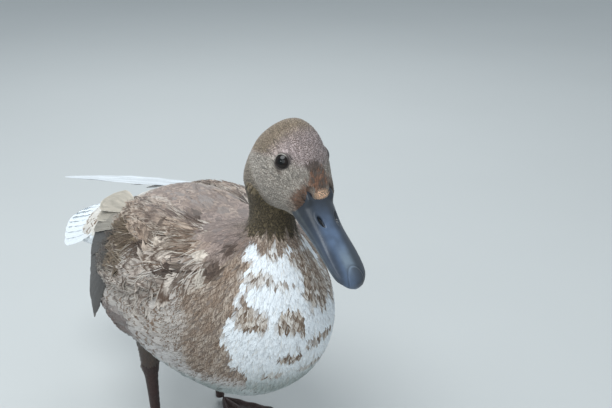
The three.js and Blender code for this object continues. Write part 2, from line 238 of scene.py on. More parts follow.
class DuckSizes(bpy.types.PropertyGroup):
    head_pitch: length_of("Head feather spacing", "Distance between roots on the face and crown", 1.15)
    neck_pitch: length_of("Neck feather spacing", "Distance between roots on the neck", 1.5)
    bib_pitch: length_of("Bib feather spacing", "Distance between roots on the breast and beside it", 2.3)
    belly_pitch: length_of("Belly feather spacing", "Distance between roots on belly and thighs", 3.5)
    wisp_pitch: length_of("Wisp spacing", "Distance between the loose barbs that soften back and flanks", 2.4)
    flank_pitch: length_of("Flank feather spacing", "Distance between roots on the flanks", 4.4)
    back_pitch: length_of("Back feather spacing", "Distance between roots on back and rump", 4.6)
    wing_pitch: length_of("Wing feather spacing", "Distance between roots of the wing's loose feathers", 5.2)
    voxel: length_of("Skin grain", "Grid on which the skin's forms are merged", 1.5)


# ------------------------------------------------------------------ forms

def blended(rows, t):
    """Rows read at any real index: each stretch between two rows is a cubic through its four neighbours."""
    table = np.asarray(rows, float)
    last = len(table) - 1
    t = np.clip(np.asarray(t, float), 0, last)
    i = np.clip(t.astype(int), 0, last - 1)
    f = (t - i)[..., None]
    a, b, c, d = (table[np.clip(i + k, 0, last)] for k in (-1, 0, 1, 2))
    return 0.5 * (2 * b + (c - a) * f + (2 * a - 5 * b + 4 * c - d) * f**2 + (3 * b - a - 3 * c + d) * f**3)


def loft(rows, t, turn, lift=0.0):
    """A point of a lofted form. At index t the section is a rounded oval, half wide and up or down tall,
    grown by lift; turn goes round it from the left side over the top; the section leans back by its lean."""
    along, height, lean, up, down, half, square = np.moveaxis(blended(rows, t), -1, 0)
    lean = np.radians(lean)
    c, s = np.cos(turn), np.sin(turn)
    x = np.maximum(half + lift, 0.3) * np.sign(c) * np.abs(c) ** (2 / square)
    v = np.maximum(np.where(s > 0, up, down) + lift, 0.3) * np.sign(s) * np.abs(s) ** (2 / square)
    return np.stack([x, -(along - np.sin(lean) * v), height + np.cos(lean) * v], -1)


def turned(yaw, pitch, roll):
    """Turn about up, then nod about the side axis, then tilt about the forward axis, as one matrix."""
    a, b, c = np.radians([yaw, pitch, roll])
    about_up = np.array([[np.cos(a), -np.sin(a), 0], [np.sin(a), np.cos(a), 0], [0, 0, 1]])
    nod = np.array([[1, 0, 0], [0, np.cos(b), -np.sin(b)], [0, np.sin(b), np.cos(b)]])
    tilt = np.array([[np.cos(c), 0, np.sin(c)], [0, 1, 0], [-np.sin(c), 0, np.cos(c)]])
    return about_up @ nod @ tilt


HEAD_MATRIX = turned(**HEAD_TURN)


def from_head(points):
    """Points of the head's own frame put in the bird's."""
    return points @ HEAD_MATRIX.T + HEAD_AT


def to_head(points):
    """Points of the bird put in the head's own frame."""
    return (points - HEAD_AT) @ HEAD_MATRIX


def smooth(x):
    """0 below 0, 1 above 1, and a smooth step between."""
    x = np.clip(x, 0, 1)
    return x * x * (3 - 2 * x)


def rise(x, start, width):
    """A smooth step from 0 at start to 1 a width further on."""
    return smooth((x - start) / width)


def fall(x, end, width):
    """A smooth step from 1 a width before the end to 0 at the end."""
    return smooth((end - x) / width)


def unit(v, least=1e-12):
    """Vectors scaled to length 1."""
    return v / np.maximum(np.linalg.norm(v, axis=-1, keepdims=True), least)


def side_angle(turn):
    """Degrees of a turn above the level of its own side, from -90 to 90."""
    degrees = np.degrees(turn) % 360
    return np.where(degrees < 90, degrees, np.where(degrees > 270, degrees - 360, 180 - degrees))


def wing_rise(t, turn):
    """How far the folded wing stands off the trunk: its full lift inside a rounded window of both sides."""
    share = np.clip((t - WING["from"]) / (WING["to"] - WING["from"]), 0, 1)
    spread = np.maximum(1 - np.abs(2 * share - 1) ** 3, 0.02) ** 0.5
    middle, reach = (WING["low"] + WING["high"]) / 2, (WING["high"] - WING["low"]) / 2
    across = np.abs(side_angle(turn) - middle) / (reach * spread)
    return WING["lift"] * fall(across, 1.12, 0.3) * smooth((0.5 - np.abs(share - 0.5)) / 0.06)


def body_at(t, turn, lift=0.0):
    """The trunk and neck's own surface."""
    return loft(BODY, t, turn, lift + wing_rise(t, turn)) + np.array([0, STAND_Y, 0])


def head_at(t, turn, lift=0.0):
    """The head's surface, in the bird's frame."""
    return from_head(loft(HEAD, t, turn, lift))


def in_head(points, margin=0.0):
    """True for points inside the head's form shrunk by margin."""
    local = to_head(points)
    rows = np.asarray(HEAD, float)
    t = np.interp(-local[..., 1], rows[:, 0], np.arange(len(rows)))
    _, height, _, up, down, half, square = np.moveaxis(blended(rows, t), -1, 0)
    v = local[..., 2] - height
    tall = np.maximum(np.where(v > 0, up, down) - margin, 0.1)
    wide = np.maximum(half - margin, 0.1)
    return (np.abs(local[..., 0]) / wide) ** square + (np.abs(v) / tall) ** square < 1


def bill_shoulder(local):
    """1 where the bill's horn runs up beside the forehead feathers and 0 away from there, in the head's
    frame."""
    side, ahead = np.abs(local[..., 0]), -local[..., 1]
    return np.exp(-(((side - 9.4) / 2.5) ** 2)) * rise(ahead, 22.5, 3) * fall(ahead, 34, 4)


def limb_at(hip, hock, side, t, turn, lift=0.0):
    """A tapering limb: t runs 0 to 1 from hock up to hip, and turn goes round it."""
    low = np.array([side * hock["side"], hock["back"] + STAND_Y, hock["height"]])
    high = np.array([side * hip["side"], hip["back"] + STAND_Y, hip["height"]])
    axis = (high - low) / np.linalg.norm(high - low)
    across = np.array([1.0, 0, 0])
    over = np.cross(axis, across)
    over /= np.linalg.norm(over)
    across = np.cross(over, axis)
    radius = hip["radius"] + (hock["radius"] - hip["radius"]) * np.sqrt(np.clip(1 - t, 0, 1)) + lift
    ring = np.cos(turn)[..., None] * across + np.sin(turn)[..., None] * over
    return low + (high - low) * np.asarray(t)[..., None] + ring * np.asarray(radius)[..., None]


def tail_root_at(t, turn, lift=0.0):
    """The tail's fleshy root: an oval section that droops to its sides; t runs from the tip forward."""
    back, height, tall, half = np.moveaxis(blended(TAIL_ROOT[::-1], t), -1, 0)
    x = np.maximum(half + lift, 0.3) * np.cos(turn)
    z = height + np.maximum(tall + lift, 0.3) * np.sin(turn) - TAIL_ROOF / 2 * x**2
    return np.stack([x, back + STAND_Y + 0 * x, z], -1)


HASH = np.array([73856093, 19349663, 83492791])  # large primes that scatter a grid corner's number
HASH_SEED, HASH_STIR = 7919, 1274126177


def lumps(points, size, seed):
    """Smooth noise from 0 to 1: a random number at each corner of a grid of that size, blended by smooth
    steps."""
    at = np.asarray(points) / size + 1000.5
    cell = np.floor(at).astype(np.int64)
    part = at - cell
    part = part * part * (3 - 2 * part)
    total = 0.0
    for corner in np.ndindex(2, 2, 2):
        number = np.bitwise_xor.reduce((cell + np.array(corner)) * HASH, axis=-1) ^ (seed * HASH_SEED)
        number = (number ^ (number >> 13)) * HASH_STIR & 0x7FFFFFFF
        value = (number ^ (number >> 16)) % 65536 / 65536
        total = total + value * np.prod(np.where(np.array(corner) == 1, part, 1 - part), -1)
    return total


# ------------------------------------------------------------------ meshes

def rings(t, count):
    """Every t with each of count turns of a full circle, as two grids."""
    t = t[:, None]
    turn = np.linspace(0, TAU, count + 1)[None, :-1]
    return t + 0 * turn, turn + 0 * t


def grid_faces(rows, cols, closed, ring=False):
    """Quads of a grid of points, joined round in the second direction if closed and in the first if ring."""
    i = np.arange(rows if ring else rows - 1)[:, None]
    j = np.arange(cols if closed else cols - 1)[None]
    a, b = i * cols + j, i * cols + (j + 1) % cols
    return np.stack([a, b, b + cols, a + cols], -1).reshape(-1, 4) % (rows * cols)


def capped(points, flip=False):
    """A closed tube from a grid of rings: the grid's quads and a fan to the middle of each end ring."""
    rows, cols = points.shape[:2]
    quads = grid_faces(rows, cols, True)
    ends = np.stack([points[0].mean(0), points[-1].mean(0)])
    verts = np.concatenate([points.reshape(-1, 3), ends])
    j = np.arange(cols)
    first = np.stack([j * 0 + rows * cols, (j + 1) % cols, j], -1)
    last = np.stack([j * 0 + rows * cols + 1, (rows - 1) * cols + j, (rows - 1) * cols + (j + 1) % cols], -1)
    tris = np.concatenate([first, last])
    if flip:
        quads, tris = quads[:, ::-1], tris[:, ::-1]
    return verts, quads, tris


def make_mesh(name, verts, quads, tris=None):
    """A mesh object from arrays of points in millimetres and faces."""
    tris = np.zeros((0, 3), int) if tris is None else tris
    mesh = bpy.data.meshes.new(name)
    mesh.vertices.add(len(verts))
    mesh.vertices.foreach_set("co", (np.asarray(verts) * MM).astype(np.float32).ravel())
    loops = np.concatenate([np.asarray(quads).ravel(), np.asarray(tris).ravel()]).astype(np.int32)
    totals = np.concatenate([np.full(len(quads), 4), np.full(len(tris), 3)]).astype(np.int32)
    mesh.loops.add(len(loops))
    mesh.loops.foreach_set("vertex_index", loops)
    mesh.polygons.add(len(totals))
    mesh.polygons.foreach_set("loop_start", np.concatenate([[0], np.cumsum(totals)[:-1]]).astype(np.int32))
    mesh.polygons.foreach_set("loop_total", totals)
    mesh.update(calc_edges=True)
    mesh.polygons.foreach_set("use_smooth", np.ones(len(totals), bool))
    made = bpy.data.objects.new(name, mesh)
    bpy.context.scene.collection.objects.link(made)
    return made


def set_map(made, name, uv):
    """A UV map from one pair per vertex."""
    mesh = made.data
    index = np.zeros(len(mesh.loops), np.int32)
    mesh.loops.foreach_get("vertex_index", index)
    layer = mesh.uv_layers.new(name=name, do_init=False)
    layer.uv.foreach_set("vector", np.asarray(uv)[index].astype(np.float32).ravel())


def set_colour(made, name, values):
    """A colour for each vertex, under a name that a material reads."""
    values = np.asarray(values)
    full = np.ones((len(values), 4), np.float32)
    full[:, :3] = values
    made.data.color_attributes.new(name, "FLOAT_COLOR", "POINT").data.foreach_set("color", full.ravel())


def place(made, material, replaced=()):
    """Gives a finished piece its material and ties it to the frame."""
    made.data.materials.clear()
    made.data.materials.append(material)
    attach(made, "root")
    if replaced:
        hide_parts(*replaced)
    return made


def piece(name, mesh, tint, material, replaced=()):
    """A finished piece from its points and faces, its points' tint, its material and what it replaces."""
    made = make_mesh(name, *mesh)
    set_colour(made, "Ground", tint)
    return place(made, material, replaced)


def apply_modifiers(made):
    """Turns a piece's live modifiers into its own mesh."""
    bpy.context.view_layer.update()
    graph = bpy.context.evaluated_depsgraph_get()
    mesh = bpy.data.meshes.new_from_object(made.evaluated_get(graph))
    made.modifiers.clear()
    old, made.data = made.data, mesh
    bpy.data.meshes.remove(old)


def points_of(made):
    """A mesh's points in millimetres."""
    flat = np.zeros(len(made.data.vertices) * 3, np.float32)
    made.data.vertices.foreach_get("co", flat)
    return flat.reshape(-1, 3).astype(float) / MM


# ------------------------------------------------------------------ feathers

# Steps of an even two-number sequence, and how many cells a surface is cut into to spread roots over it.
EVEN = (0.7548776662466927, 0.5698402909980532)
CELLS = (260, 300)
# What shapes a coat's feather.
SHAPING = ("length", "width", "swing", "low", "high", "curl", "cup", "fray", "thick", "roll", "bend")


def scattered(at, spans, turns, pitch, keep=None, seed=0):
    """Roots spread evenly over a surface. The number in each small cell is its area over the square of the
    spacing there; an even two-number sequence is drawn through the running totals, so no two roots clump."""
    t = np.linspace(*spans, CELLS[0] + 1)
    turn = np.linspace(*turns, CELLS[1] + 1)
    corner = at(t[:, None] + 0 * turn[None], turn[None] + 0 * t[:, None])
    across = corner[:-1, 1:] - corner[:-1, :-1]
    along = corner[1:, :-1] - corner[:-1, :-1]
    area = np.linalg.norm(np.cross(along, across), axis=-1)
    middle = (corner[:-1, :-1] + corner[1:, 1:]) / 2
    mid_t = ((t[1:] + t[:-1]) / 2)[:, None] + 0 * turn[None, :-1]
    mid_turn = ((turn[1:] + turn[:-1]) / 2)[None] + 0 * t[:-1, None]
    spacing = pitch(middle, mid_t, mid_turn) if callable(pitch) else pitch
    weight = area / spacing**2
    if keep is not None:
        weight = weight * keep(middle, mid_t, mid_turn)
    i = np.arange(int(weight.sum())) + seed * 101
    first, second = ((0.5 + i * step) % 1 for step in EVEN)
    rows = weight.sum(1)
    total = np.concatenate([[0], np.cumsum(rows)]) / rows.sum()
    place_t = np.interp(first, total, np.arange(len(total)))
    k = np.clip(place_t.astype(int), 0, len(rows) - 1)
    inner = np.concatenate([np.zeros((len(rows), 1)), np.cumsum(weight, 1)], 1)
    inner = inner / np.maximum(inner[:, -1:], 1e-12) * 0.999999 + np.arange(len(rows))[:, None]
    found = np.interp(k + second * 0.999999, inner.ravel(), np.arange(inner.size))
    column = found - k * len(turn)
    return np.interp(place_t, np.arange(len(t)), t), np.interp(column, np.arange(len(turn)), turn)


def lens(rows, cols):
    """Quads of a thin closed blade: a grid on top, and its inner points again below, joined at the rim."""
    top = np.arange(rows * cols).reshape(rows, cols)
    under = top.copy()
    under[1:-1, 1:-1] = rows * cols + np.arange((rows - 2) * (cols - 2)).reshape(rows - 2, cols - 2)
    faces = []
    for sheet, way in ((top, 1), (under, -1)):
        a, b, c, d = sheet[:-1, :-1], sheet[:-1, 1:], sheet[1:, 1:], sheet[1:, :-1]
        faces.append(np.stack([a, b, c, d], -1).reshape(-1, 4)[:, ::way])
    return np.concatenate(faces)


def vane_outline(rows, cols, taper):
    """Share along and share across at each grid point: narrow at the root, widest past the middle, round at
    the tip, where taper is the width left there."""
    s = np.linspace(0, 1, rows)[:, None]
    u = np.linspace(-1, 1, cols)[None]
    widen = 0.34 + 0.66 * np.sin(np.minimum(s / 0.55, 1) * np.pi / 2)
    close = 1 - (1 - taper) * rise(s, 0.55, 0.45)
    return s - 0.16 * u**2 * s**3, u * widen * close


def vane_grid(rows, cols):
    """Which points of a blade's grid have a point below them, and the map of top and lower points."""
    inside = np.zeros((rows, cols), bool)
    inside[1:-1, 1:-1] = True
    s, u = np.meshgrid(np.linspace(0, 1, rows), np.linspace(0, 1, cols), indexing="ij")
    flat = np.stack([u, s], -1)
    return inside, np.concatenate([flat.reshape(-1, 2), flat[inside]])


def soften(made, faces, shade, top):
    """Sets the shading directions of feathers: shade at each point of their tops, each lower face its own.
    Top is True for the points of the tops."""
    co = np.zeros(len(made.data.vertices) * 3, np.float32)
    made.data.vertices.foreach_get("co", co)
    p = co.reshape(-1, 3)[faces]
    own = np.cross(p[:, 2] - p[:, 0], p[:, 3] - p[:, 1])
    corner = unit(np.where(top[faces].all(1)[:, None, None], shade[faces], own[:, None]))
    made.data.normals_split_custom_set(corner.reshape(-1, 3).astype(np.float32))


def surface_frame(at, t, turn):
    """How far the surface stretches per unit of t and of turn, and its outward normal, at each point."""
    step = 0.04
    along = (at(t + step, turn) - at(t - step, turn)) / (2 * step)
    around = (at(t, turn + step) - at(t, turn - step)) / (2 * step)
    normal = np.cross(along, around)
    outward = at(t, turn, 1.0) - at(t, turn, 0.0)
    normal = normal * np.where((normal * outward).sum(-1) < 0, -1.0, 1.0)[..., None]
    stretch_t, stretch_turn = (np.maximum(np.linalg.norm(v, axis=-1), 2.0) for v in (along, around))
    return stretch_t, stretch_turn, unit(normal, 1e-6)


def far_end(at, t, turn, length, swing, share=0.87):
    """Where on the surface the part of each feather that shows lies: its own t and turn, and the point."""
    stretch_t, stretch_turn, _ = surface_frame(at, t, turn)
    swing, down = np.radians(swing), np.where(np.cos(turn) > 0, -1.0, 1.0)
    far_t = t - share * length * np.cos(swing) / stretch_t
    far_turn = turn + down * share * length * np.sin(swing) / stretch_turn
    return far_t, far_turn, at(far_t, far_turn)


def coat(name, at, t, turn, look, rng, grid=(5, 5), taper=0.55, soft=0.7):
    """One mesh of closed feathers rooted at (t, turn). Each lies along the surface towards lower t, swung by
    its own angle. Its lift off the surface grows from low at the root to high at the tip, bends up by curl,
    and falls to both edges by cup. Fray moves the points of the tip apart. Soft is how far its shading leans
    to the body's own, as a soft coat's does."""
    rows, cols = grid
    count = len(t)
    each = lambda values: np.broadcast_to(np.asarray(values, float), (count,))[:, None, None]
    part = {k: each(look[k]) for k in SHAPING}
    stretch_t, stretch_turn, normal = surface_frame(at, t, turn)
    far_t, far_turn, _ = far_end(at, t, turn, part["length"][:, 0, 0], part["swing"][:, 0, 0], 1.0)
    far_normal = surface_frame(at, far_t, far_turn)[2]
    s, u = (k[None] for k in vane_outline(rows, cols, taper))
    loose = rng.uniform(-1, 1, (count, rows, cols))
    comb = np.where(np.arange(cols) % 2 == 0, 1.0, -1.0)[None, None]
    ragged = part["fray"] * s**4 * (0.55 * comb + 0.6 * loose)
    a = part["length"] * (s + ragged)
    b = part["width"] / 2 * (u + 0.5 * part["fray"] * s**3 * np.roll(loose, 1, 2)) + part["bend"] * s**2
    swing = np.radians(part["swing"])
    down = each(np.where(np.cos(turn) > 0, -1.0, 1.0))
    back = a * np.cos(swing) - b * np.sin(swing)
    side = a * np.sin(swing) + b * np.cos(swing)
    at_t = each(t) - back / each(stretch_t)
    at_turn = each(turn) + down * side / each(stretch_turn)
    lift = part["low"] + (part["high"] - part["low"]) * s**0.8 + part["curl"] * s**3
    lift = lift - part["cup"] * np.abs(u) ** 2 * s + part["roll"] * u * s
    over = at(at_t, at_turn, lift)
    rim, flat = vane_grid(rows, cols)
    under = at(at_t[:, rim], at_turn[:, rim], (lift - part["thick"])[:, rim])
    verts = np.concatenate([over.reshape(count, -1, 3), under], 1)
    per = verts.shape[1]
    quads = lens(rows, cols)
    faces = np.where(down > 0, quads[None, :, ::-1], quads[None]) + (np.arange(count) * per)[:, None, None]
    faces = faces.reshape(-1, 4)
    body = normal[:, None, None] * (1 - s[..., None]) + far_normal[:, None, None] * s[..., None]
    own = unit(np.cross(np.gradient(over, axis=2), np.gradient(over, axis=1)), 1e-6)
    own = own * np.where((own * body).sum(-1, keepdims=True) < 0, -1.0, 1.0)
    shade = soft * body + (1 - soft) * own
    shade = np.concatenate([shade.reshape(count, -1, 3), shade[:, rim]], 1).reshape(-1, 3)
    made = make_mesh(name, verts.reshape(-1, 3), faces)
    soften(made, faces, shade, np.tile(np.arange(per) < rows * cols, count))
    set_map(made, "Vane", np.tile(flat, (count, 1)))
    root = np.stack([(k - k.min()) / max(np.ptp(k), 1e-6) for k in (turn, t)], -1)
    own_patch = (flat - 0.5) * 0.003
    set_map(made, "OFBake", (0.01 + 0.98 * root[:, None] + own_patch[None]).reshape(-1, 2))
    for key in ("ground", "mark", "figure"):
        set_colour(made, key.capitalize(), np.repeat(look[key], per, 0))
    return made


def blades(name, parts, rng, grid=(26, 11), thick=1.0, fray=0.02, quill=0.7, taper=0.5):
    """Long feathers, each from its own root, tip, facing, width and bow: a grid along and across the blade,
    its middle bowed out, its edges drooped, a ridge along the shaft, and gaps where the barbs have parted."""
    rows, cols = grid
    s, u = vane_outline(rows, cols, taper)
    rim, flat = vane_grid(rows, cols)
    every, lit, maps = [], [], []
    for index, p in enumerate(parts):
        root, tip, face = (np.array(p[k], float) for k in ("root", "tip", "face"))
        along = tip - root
        length = np.linalg.norm(along)
        along /= length
        face -= along * (face @ along)
        face /= np.linalg.norm(face)
        side = np.cross(along, face)
        part_gap = rng.uniform(-1, 1, (rows, cols)) * fray * np.abs(u) * s
        a = (s + part_gap) * length
        b = u * p["width"] / 2 * (1 + part_gap)
        bow = p["arch"] * 4 * s * (1 - s)
        roof = -p["cup"] * np.abs(u) ** 1.6 * p["width"] / 2
        shaft = quill * np.exp(-((u / 0.1) ** 2)) * (1 - 0.7 * s)
        wave = 0.25 * np.sin(s * 37 + index * 2 + np.abs(u) * 5) * np.abs(u)
        lift = bow + roof + shaft + wave
        over = root + a[..., None] * along + b[..., None] * side + lift[..., None] * face
        under = over - (thick * (1 - 0.5 * s))[..., None] * face
        every.append(np.concatenate([over.reshape(-1, 3), under[rim]]))
        turned_out = face + (0.25 * u)[..., None] * side
        lit.append(np.concatenate([turned_out.reshape(-1, 3), turned_out[rim]]))
        cell = np.array([(index + 0.5) / len(parts), 0.5])
        maps.append(cell + (flat - 0.5) * np.array([0.9 / len(parts), 0.96]))
    count, per = len(parts), len(flat)
    faces = np.concatenate([lens(rows, cols) + k * per for k in range(count)])
    made = make_mesh(name, np.concatenate(every), faces)
    soften(made, faces, np.concatenate(lit), np.tile(np.arange(per) < rows * cols, count))
    set_map(made, "Vane", np.tile(flat, (count, 1)))
    set_map(made, "OFBake", np.concatenate(maps))
    for key in ("ground", "mark", "figure"):
        set_colour(made, key.capitalize(), np.repeat([np.asarray(p[key], float) for p in parts], per, 0))
    return made


# ------------------------------------------------------------------ markings

def tones():
    """The colour settings as arrays, by name."""
    settings = bpy.context.scene.duck_colours
    return SimpleNamespace(**{k: np.array(getattr(settings, k)[:]) for k in DuckColours.__annotations__})


def mixed(a, b, share):
    """Two colours, or arrays of them, blended by a share."""
    share = np.asarray(share)[..., None]
    return a * (1 - share) + b * share


def figured(middle, spread, fringe):
    """A figure for each feather: where its band lies, the band's half width, and how pale the fringe is."""
    return np.stack(np.broadcast_arrays(middle, spread, fringe), -1)


def layered(base, *layers):
    """A colour with others laid over it in turn, each given as a colour and its share."""
    for colour, share in layers:
        base = mixed(base, colour, share)
    return base


def patch(points, centre, reach, ragged=0.5, seed=1, grain=5.0):
    """1 in the middle of an ellipsoid and 0 outside, with an edge drawn out into upright streaks."""
    far = np.sqrt((((points - np.array(centre)) / np.array(reach)) ** 2).sum(-1))
    streaks = lumps(points * [1, 1, 0.45], grain, seed) - 0.5
    return smooth((1.2 - far + streaks * ragged) / 0.35)


# Half width of the white bib by height.
BIB_EDGE = ([86, 100, 120, 143, 154, 174, 190, 203, 212], [14, 32, 43, 51, 50, 39, 32, 25, 14])
# Brown patches in the bib: centre, reach, how solid.
BIB_PATCHES = [
    ([13, -136, 182], [16, 22, 21], 0.95),
    ([0, -131, 199], [8, 12, 8], 0.75),
    ([-27, -119, 188], [9, 14, 4.5], 0.75),
    ([-17, -133, 184], [7, 14, 2.6], 0.6),
    ([-17, -138, 157], [11, 16, 10], 0.95),
    ([-38, -122, 161], [9, 11, 11], 0.85),
    ([13, -141, 141], [12, 16, 2.6], 0.9),
    ([0, -142, 137], [9, 16, 2.4], 0.8),
    ([-15, -137, 130], [8, 12, 4], 0.85),
    ([8, -134, 116], [18, 14, 2.2], 0.7),
    ([-15, -119, 203], [5, 7, 4], 0.6),
    ([34, -122, 168], [9, 16, 16], 0.8),
    ([-24, -124, 114], [7, 9, 3], 0.6),
]
# Where the loose plumage over the wing parts and dark down shows; the umber painted there is partly shade.
# Centre and radius.
HOLLOWS = [
    ([-62, -19, 193], 14),
    ([-42, -19, 209], 11),
    ([-24, -36, 210], 9),
    ([-63, -58, 184], 14),
    ([-46, -88, 190], 9),
    ([-32, -89, 202], 6),
]
# Streaks and washes over the wing: centre, reach, colour, strength.
WASHES = [
    ([-62, 14, 180], [18, 30, 22], "ochre", 0.9),
    ([-55, -38, 201], [8, 16, 4], "cream", 0.35),
    ([-20, -66, 212], [20, 26, 12], "mauve", 0.65),
    ([-25, 6, 209], [6, 17, 4], "cream", 0.25),
    ([-46, -74, 197], [3, 4, 6], "cream", 0.45),
    ([-53, -83, 184], [3, 4, 8], "cream", 0.6),
    ([-38, -84, 200], [10, 12, 8], "mauve", 0.7),
    ([-30, 62, 198], [14, 16, 9], "cream", 0.5),
    ([-66, 34, 168], [12, 15, 28], "slate", 0.85),
]
# Whorls that the loose plumage follows: centre, reach, strength.
WHORLS = [
    ([-60, -24, 189], 24, 0.95),
    ([-63, -58, 183], 19, 0.9),
]
LIE = 4.0  # degrees that plumage away from a whorl points below straight back


def on_right(points):
    """Points with their side dropped, as if all on the bird's right."""
    side = -np.sign(points[..., 0] + 1e-9)
    return points * np.stack([side, *np.ones((2, *points.shape[:-1]))], -1)


def hollow_share(points):
    """1 in the middle of a hollow of the plumage, 0 away from one."""
    folded = on_right(points)
    share = np.zeros(points.shape[:-1])
    for centre, radius in HOLLOWS:
        far = np.linalg.norm(folded - np.array(centre), axis=-1) / radius
        share = np.maximum(share, fall(far, 1.25, 0.8))
    return share


def lie_of(points):
    """Degrees that the plumage is turned downward from straight back. It follows rings round each whorl:
    backwards over its middle, and down behind it."""
    folded = on_right(points)
    along = np.full(points.shape[:-1], math.cos(math.radians(LIE)))
    down = np.full(points.shape[:-1], math.sin(math.radians(LIE)))
    for centre, reach, strength in WHORLS:
        back = folded[..., 1] - centre[1]
        drop = (centre[2] - folded[..., 2]) * 1.1 + (centre[0] - folded[..., 0]) * 0.6
        far = np.maximum(np.hypot(back, drop), 1.0)
        share = strength * smooth(1.3 - far / reach) * np.where(drop > 0, 0.4, 1.0)
        along = along * (1 - share) - drop / far * share
        down = down * (1 - share) + back / far * share
    return np.degrees(np.arctan2(down, along))


def trunk_markings(points, luck):
    """Ground colour, mark colour and figure for feathers rooted at these points of trunk and neck. The figure
    is where the mark's band lies along the feather, its half width, and how pale the fringe is. Only the last
    quarter of a feather shows, so the bands lie there."""
    c = tones()
    y, z = points[..., 1], points[..., 2]
    side = np.abs(points[..., 0])
    fine = lumps(points, 6, 3)
    broad = lumps(points, 18, 4)
    count = points.shape[:-1]
    full = np.ones(count + (3,))
    ground, mark, figure = c.cream * full, c.brown * full, 0 * full

    def lay(share, ground_colour, mark_colour, middle, spread, fringe):
        """Lays a zone's colours and figure over what is there."""
        nonlocal ground, mark, figure
        ground = mixed(ground, ground_colour, share)
        mark = mixed(mark, mark_colour, share)
        figure = mixed(figure, figured(middle, spread, fringe) + 0 * figure, share)

    def pick(share):
        """Picks whole feathers, more of them where the share is higher."""
        return smooth(share - 0.5 - 0.5 * (luck - 0.5) + 0.5)

    # flank: pale grey-cream ground and a soft brown crescent near the tip, fewer and smaller low down
    low = fall(z, 140, 30)
    strong = smooth((0.9 - 0.3 * low - luck) / 0.3) * (0.6 + 0.8 * broad)
    pale = mixed(mixed(c.cream, c.white, 0.2 + 0.45 * low), c.mauve, 0.35 + 0.3 * fine)
    lay(np.ones(count), pale, mixed(c.brown, c.umber, 0.5 * fine), 0.86, 0.17 * strong, 0.8)
    # back, with a grey-purple mantle
    back = rise(z, 188, 12) * smooth((y + 104) / 16)
    back_ground = mixed(c.brown, c.cream, 0.05 + 0.28 * luck)
    lay(back, back_ground, mixed(c.brown, c.umber, 0.6 * broad), 0.82, 0.1, 0.6)
    top = smooth((58 - side * 1.0 - np.abs(y + 4) * 0.4) / 20) * rise(z, 196, 8)
    mantle = mixed(mixed(c.mauve, c.brown, 0.4), c.cream, 0.15 * luck)
    lay(top, mantle, mixed(c.mauve, c.umber, 0.35), 0.8, 0.12, 0.5)
    # rear: mauve-brown along the lower flank, darkened with umber as painted shade, cream rump, pale vent
    rear = rise(y, 30, 26)
    lower = mixed(c.mauve, c.umber, 0.25 + 0.2 * luck)
    lay(smooth((y + 22) / 24) * fall(z, 138, 12), lower, c.umber, 0.8, 0.08, 0.4)
    lay(rear * fall(z, 150, 20), mixed(c.mauve, c.cream, 0.25), c.umber, 0.8, 0.08, 0.5)
    lay(rear * rise(z, 168, 14), mixed(c.cream, c.white, 0.2), c.ochre, 0.8, 0.06, 0.8)
    lay(rise(y, 96, 20) * fall(z, 156, 16), mixed(c.white, c.cream, 0.4), c.brown, 0.8, 0.05, 0)
    # finely barred brown between bib and flank
    barred = smooth((-62 - y + 18 * (broad - 0.5)) / 26) * rise(z, 96, 24)
    barred_ground = mixed(c.brown, c.cream, 0.05 + 0.5 * fine * luck)
    lay(pick(barred), barred_ground, mixed(c.umber, c.brown, 0.3), 0.86, 0.07 + 0.04 * broad, 0.5)
    # mauve shoulder beside the neck
    beside = rise(z, 196, 10) * smooth((-60 - y) / 14) * rise(side, 16, 8)
    lay(beside, mixed(c.mauve, c.brown, 0.6 * fine), mixed(c.umber, c.mauve, 0.4), 0.85, 0.08, 0.6)
    # belly: grey-white, darkened as painted shade
    lay(fall(z, 108, 14), mixed(c.belly, c.white, 0.3 * broad), c.umber, 0.85, 0.09 * (luck > 0.9), 0.2)
    # bib, greying towards the bottom as painted shade, and its patches
    upright = lumps(points * [1, 1, 0.4], 4, 5) - 0.5
    edge = np.interp(z, *BIB_EDGE)
    bib = smooth((edge - side + 7 * upright) / 3 + 0.5) * smooth((-84 - y) / 8)
    bib = bib * smooth((208 - z + 14 * upright) / 4) * rise(z, 86, 14)
    brown_in_bib = np.zeros(count)
    for number, (centre, reach, solid) in enumerate(BIB_PATCHES):
        brown_in_bib = np.maximum(brown_in_bib, solid * patch(points, centre, reach, 0.9, 20 + number))
    lay(pick(bib), mixed(c.white, c.belly, fall(z, 130, 34)), c.cream, 0.8, 0.02, 0)
    spotted = mixed(c.brown, c.cream, 0.1 + 0.7 * luck**2)
    brown_in_bib = bib * pick(brown_in_bib * (0.75 + 0.5 * fine))
    lay(brown_in_bib, spotted, mixed(c.umber, c.brown, 0.3 + 0.6 * luck), 0.87, 0.07, 0.15)
    # neck: only its own narrow tube, ending in ragged streaks over the bib
    neck = smooth((z - 209 + 15 * upright) / 4) * smooth((-70 - y) / 10)
    neck = neck * smooth((23 - side + 8 * upright) / 5)
    nape = mixed(c.neck, c.nape, 0.6 * smooth((y + 112) / 14))
    lay(neck, nape, c.neck_dark, 0.85, 0.1 + 0.06 * luck, 0.5)
    # washes over the wing, and hollows where dark down shows, their umber partly painted shade
    folded = on_right(points)
    for number, (centre, reach, tone, strength) in enumerate(WASHES):
        share = strength * patch(folded, centre, reach, 0.5, 60 + number, 6.0)
        washed = getattr(c, tone) * full
        lay(share, washed, mixed(washed, c.umber, 0.5), 0.84, 0.08, 0.4)
    lay(0.9 * hollow_share(points), c.umber, c.umber, 0.8, 0.1, 0.2)
    uneven = 0.14 + 0.5 * fall(ground.mean(-1), 0.45, 0.3)
    return ground * (1 + uneven * (luck - 0.5))[..., None], mark, figure


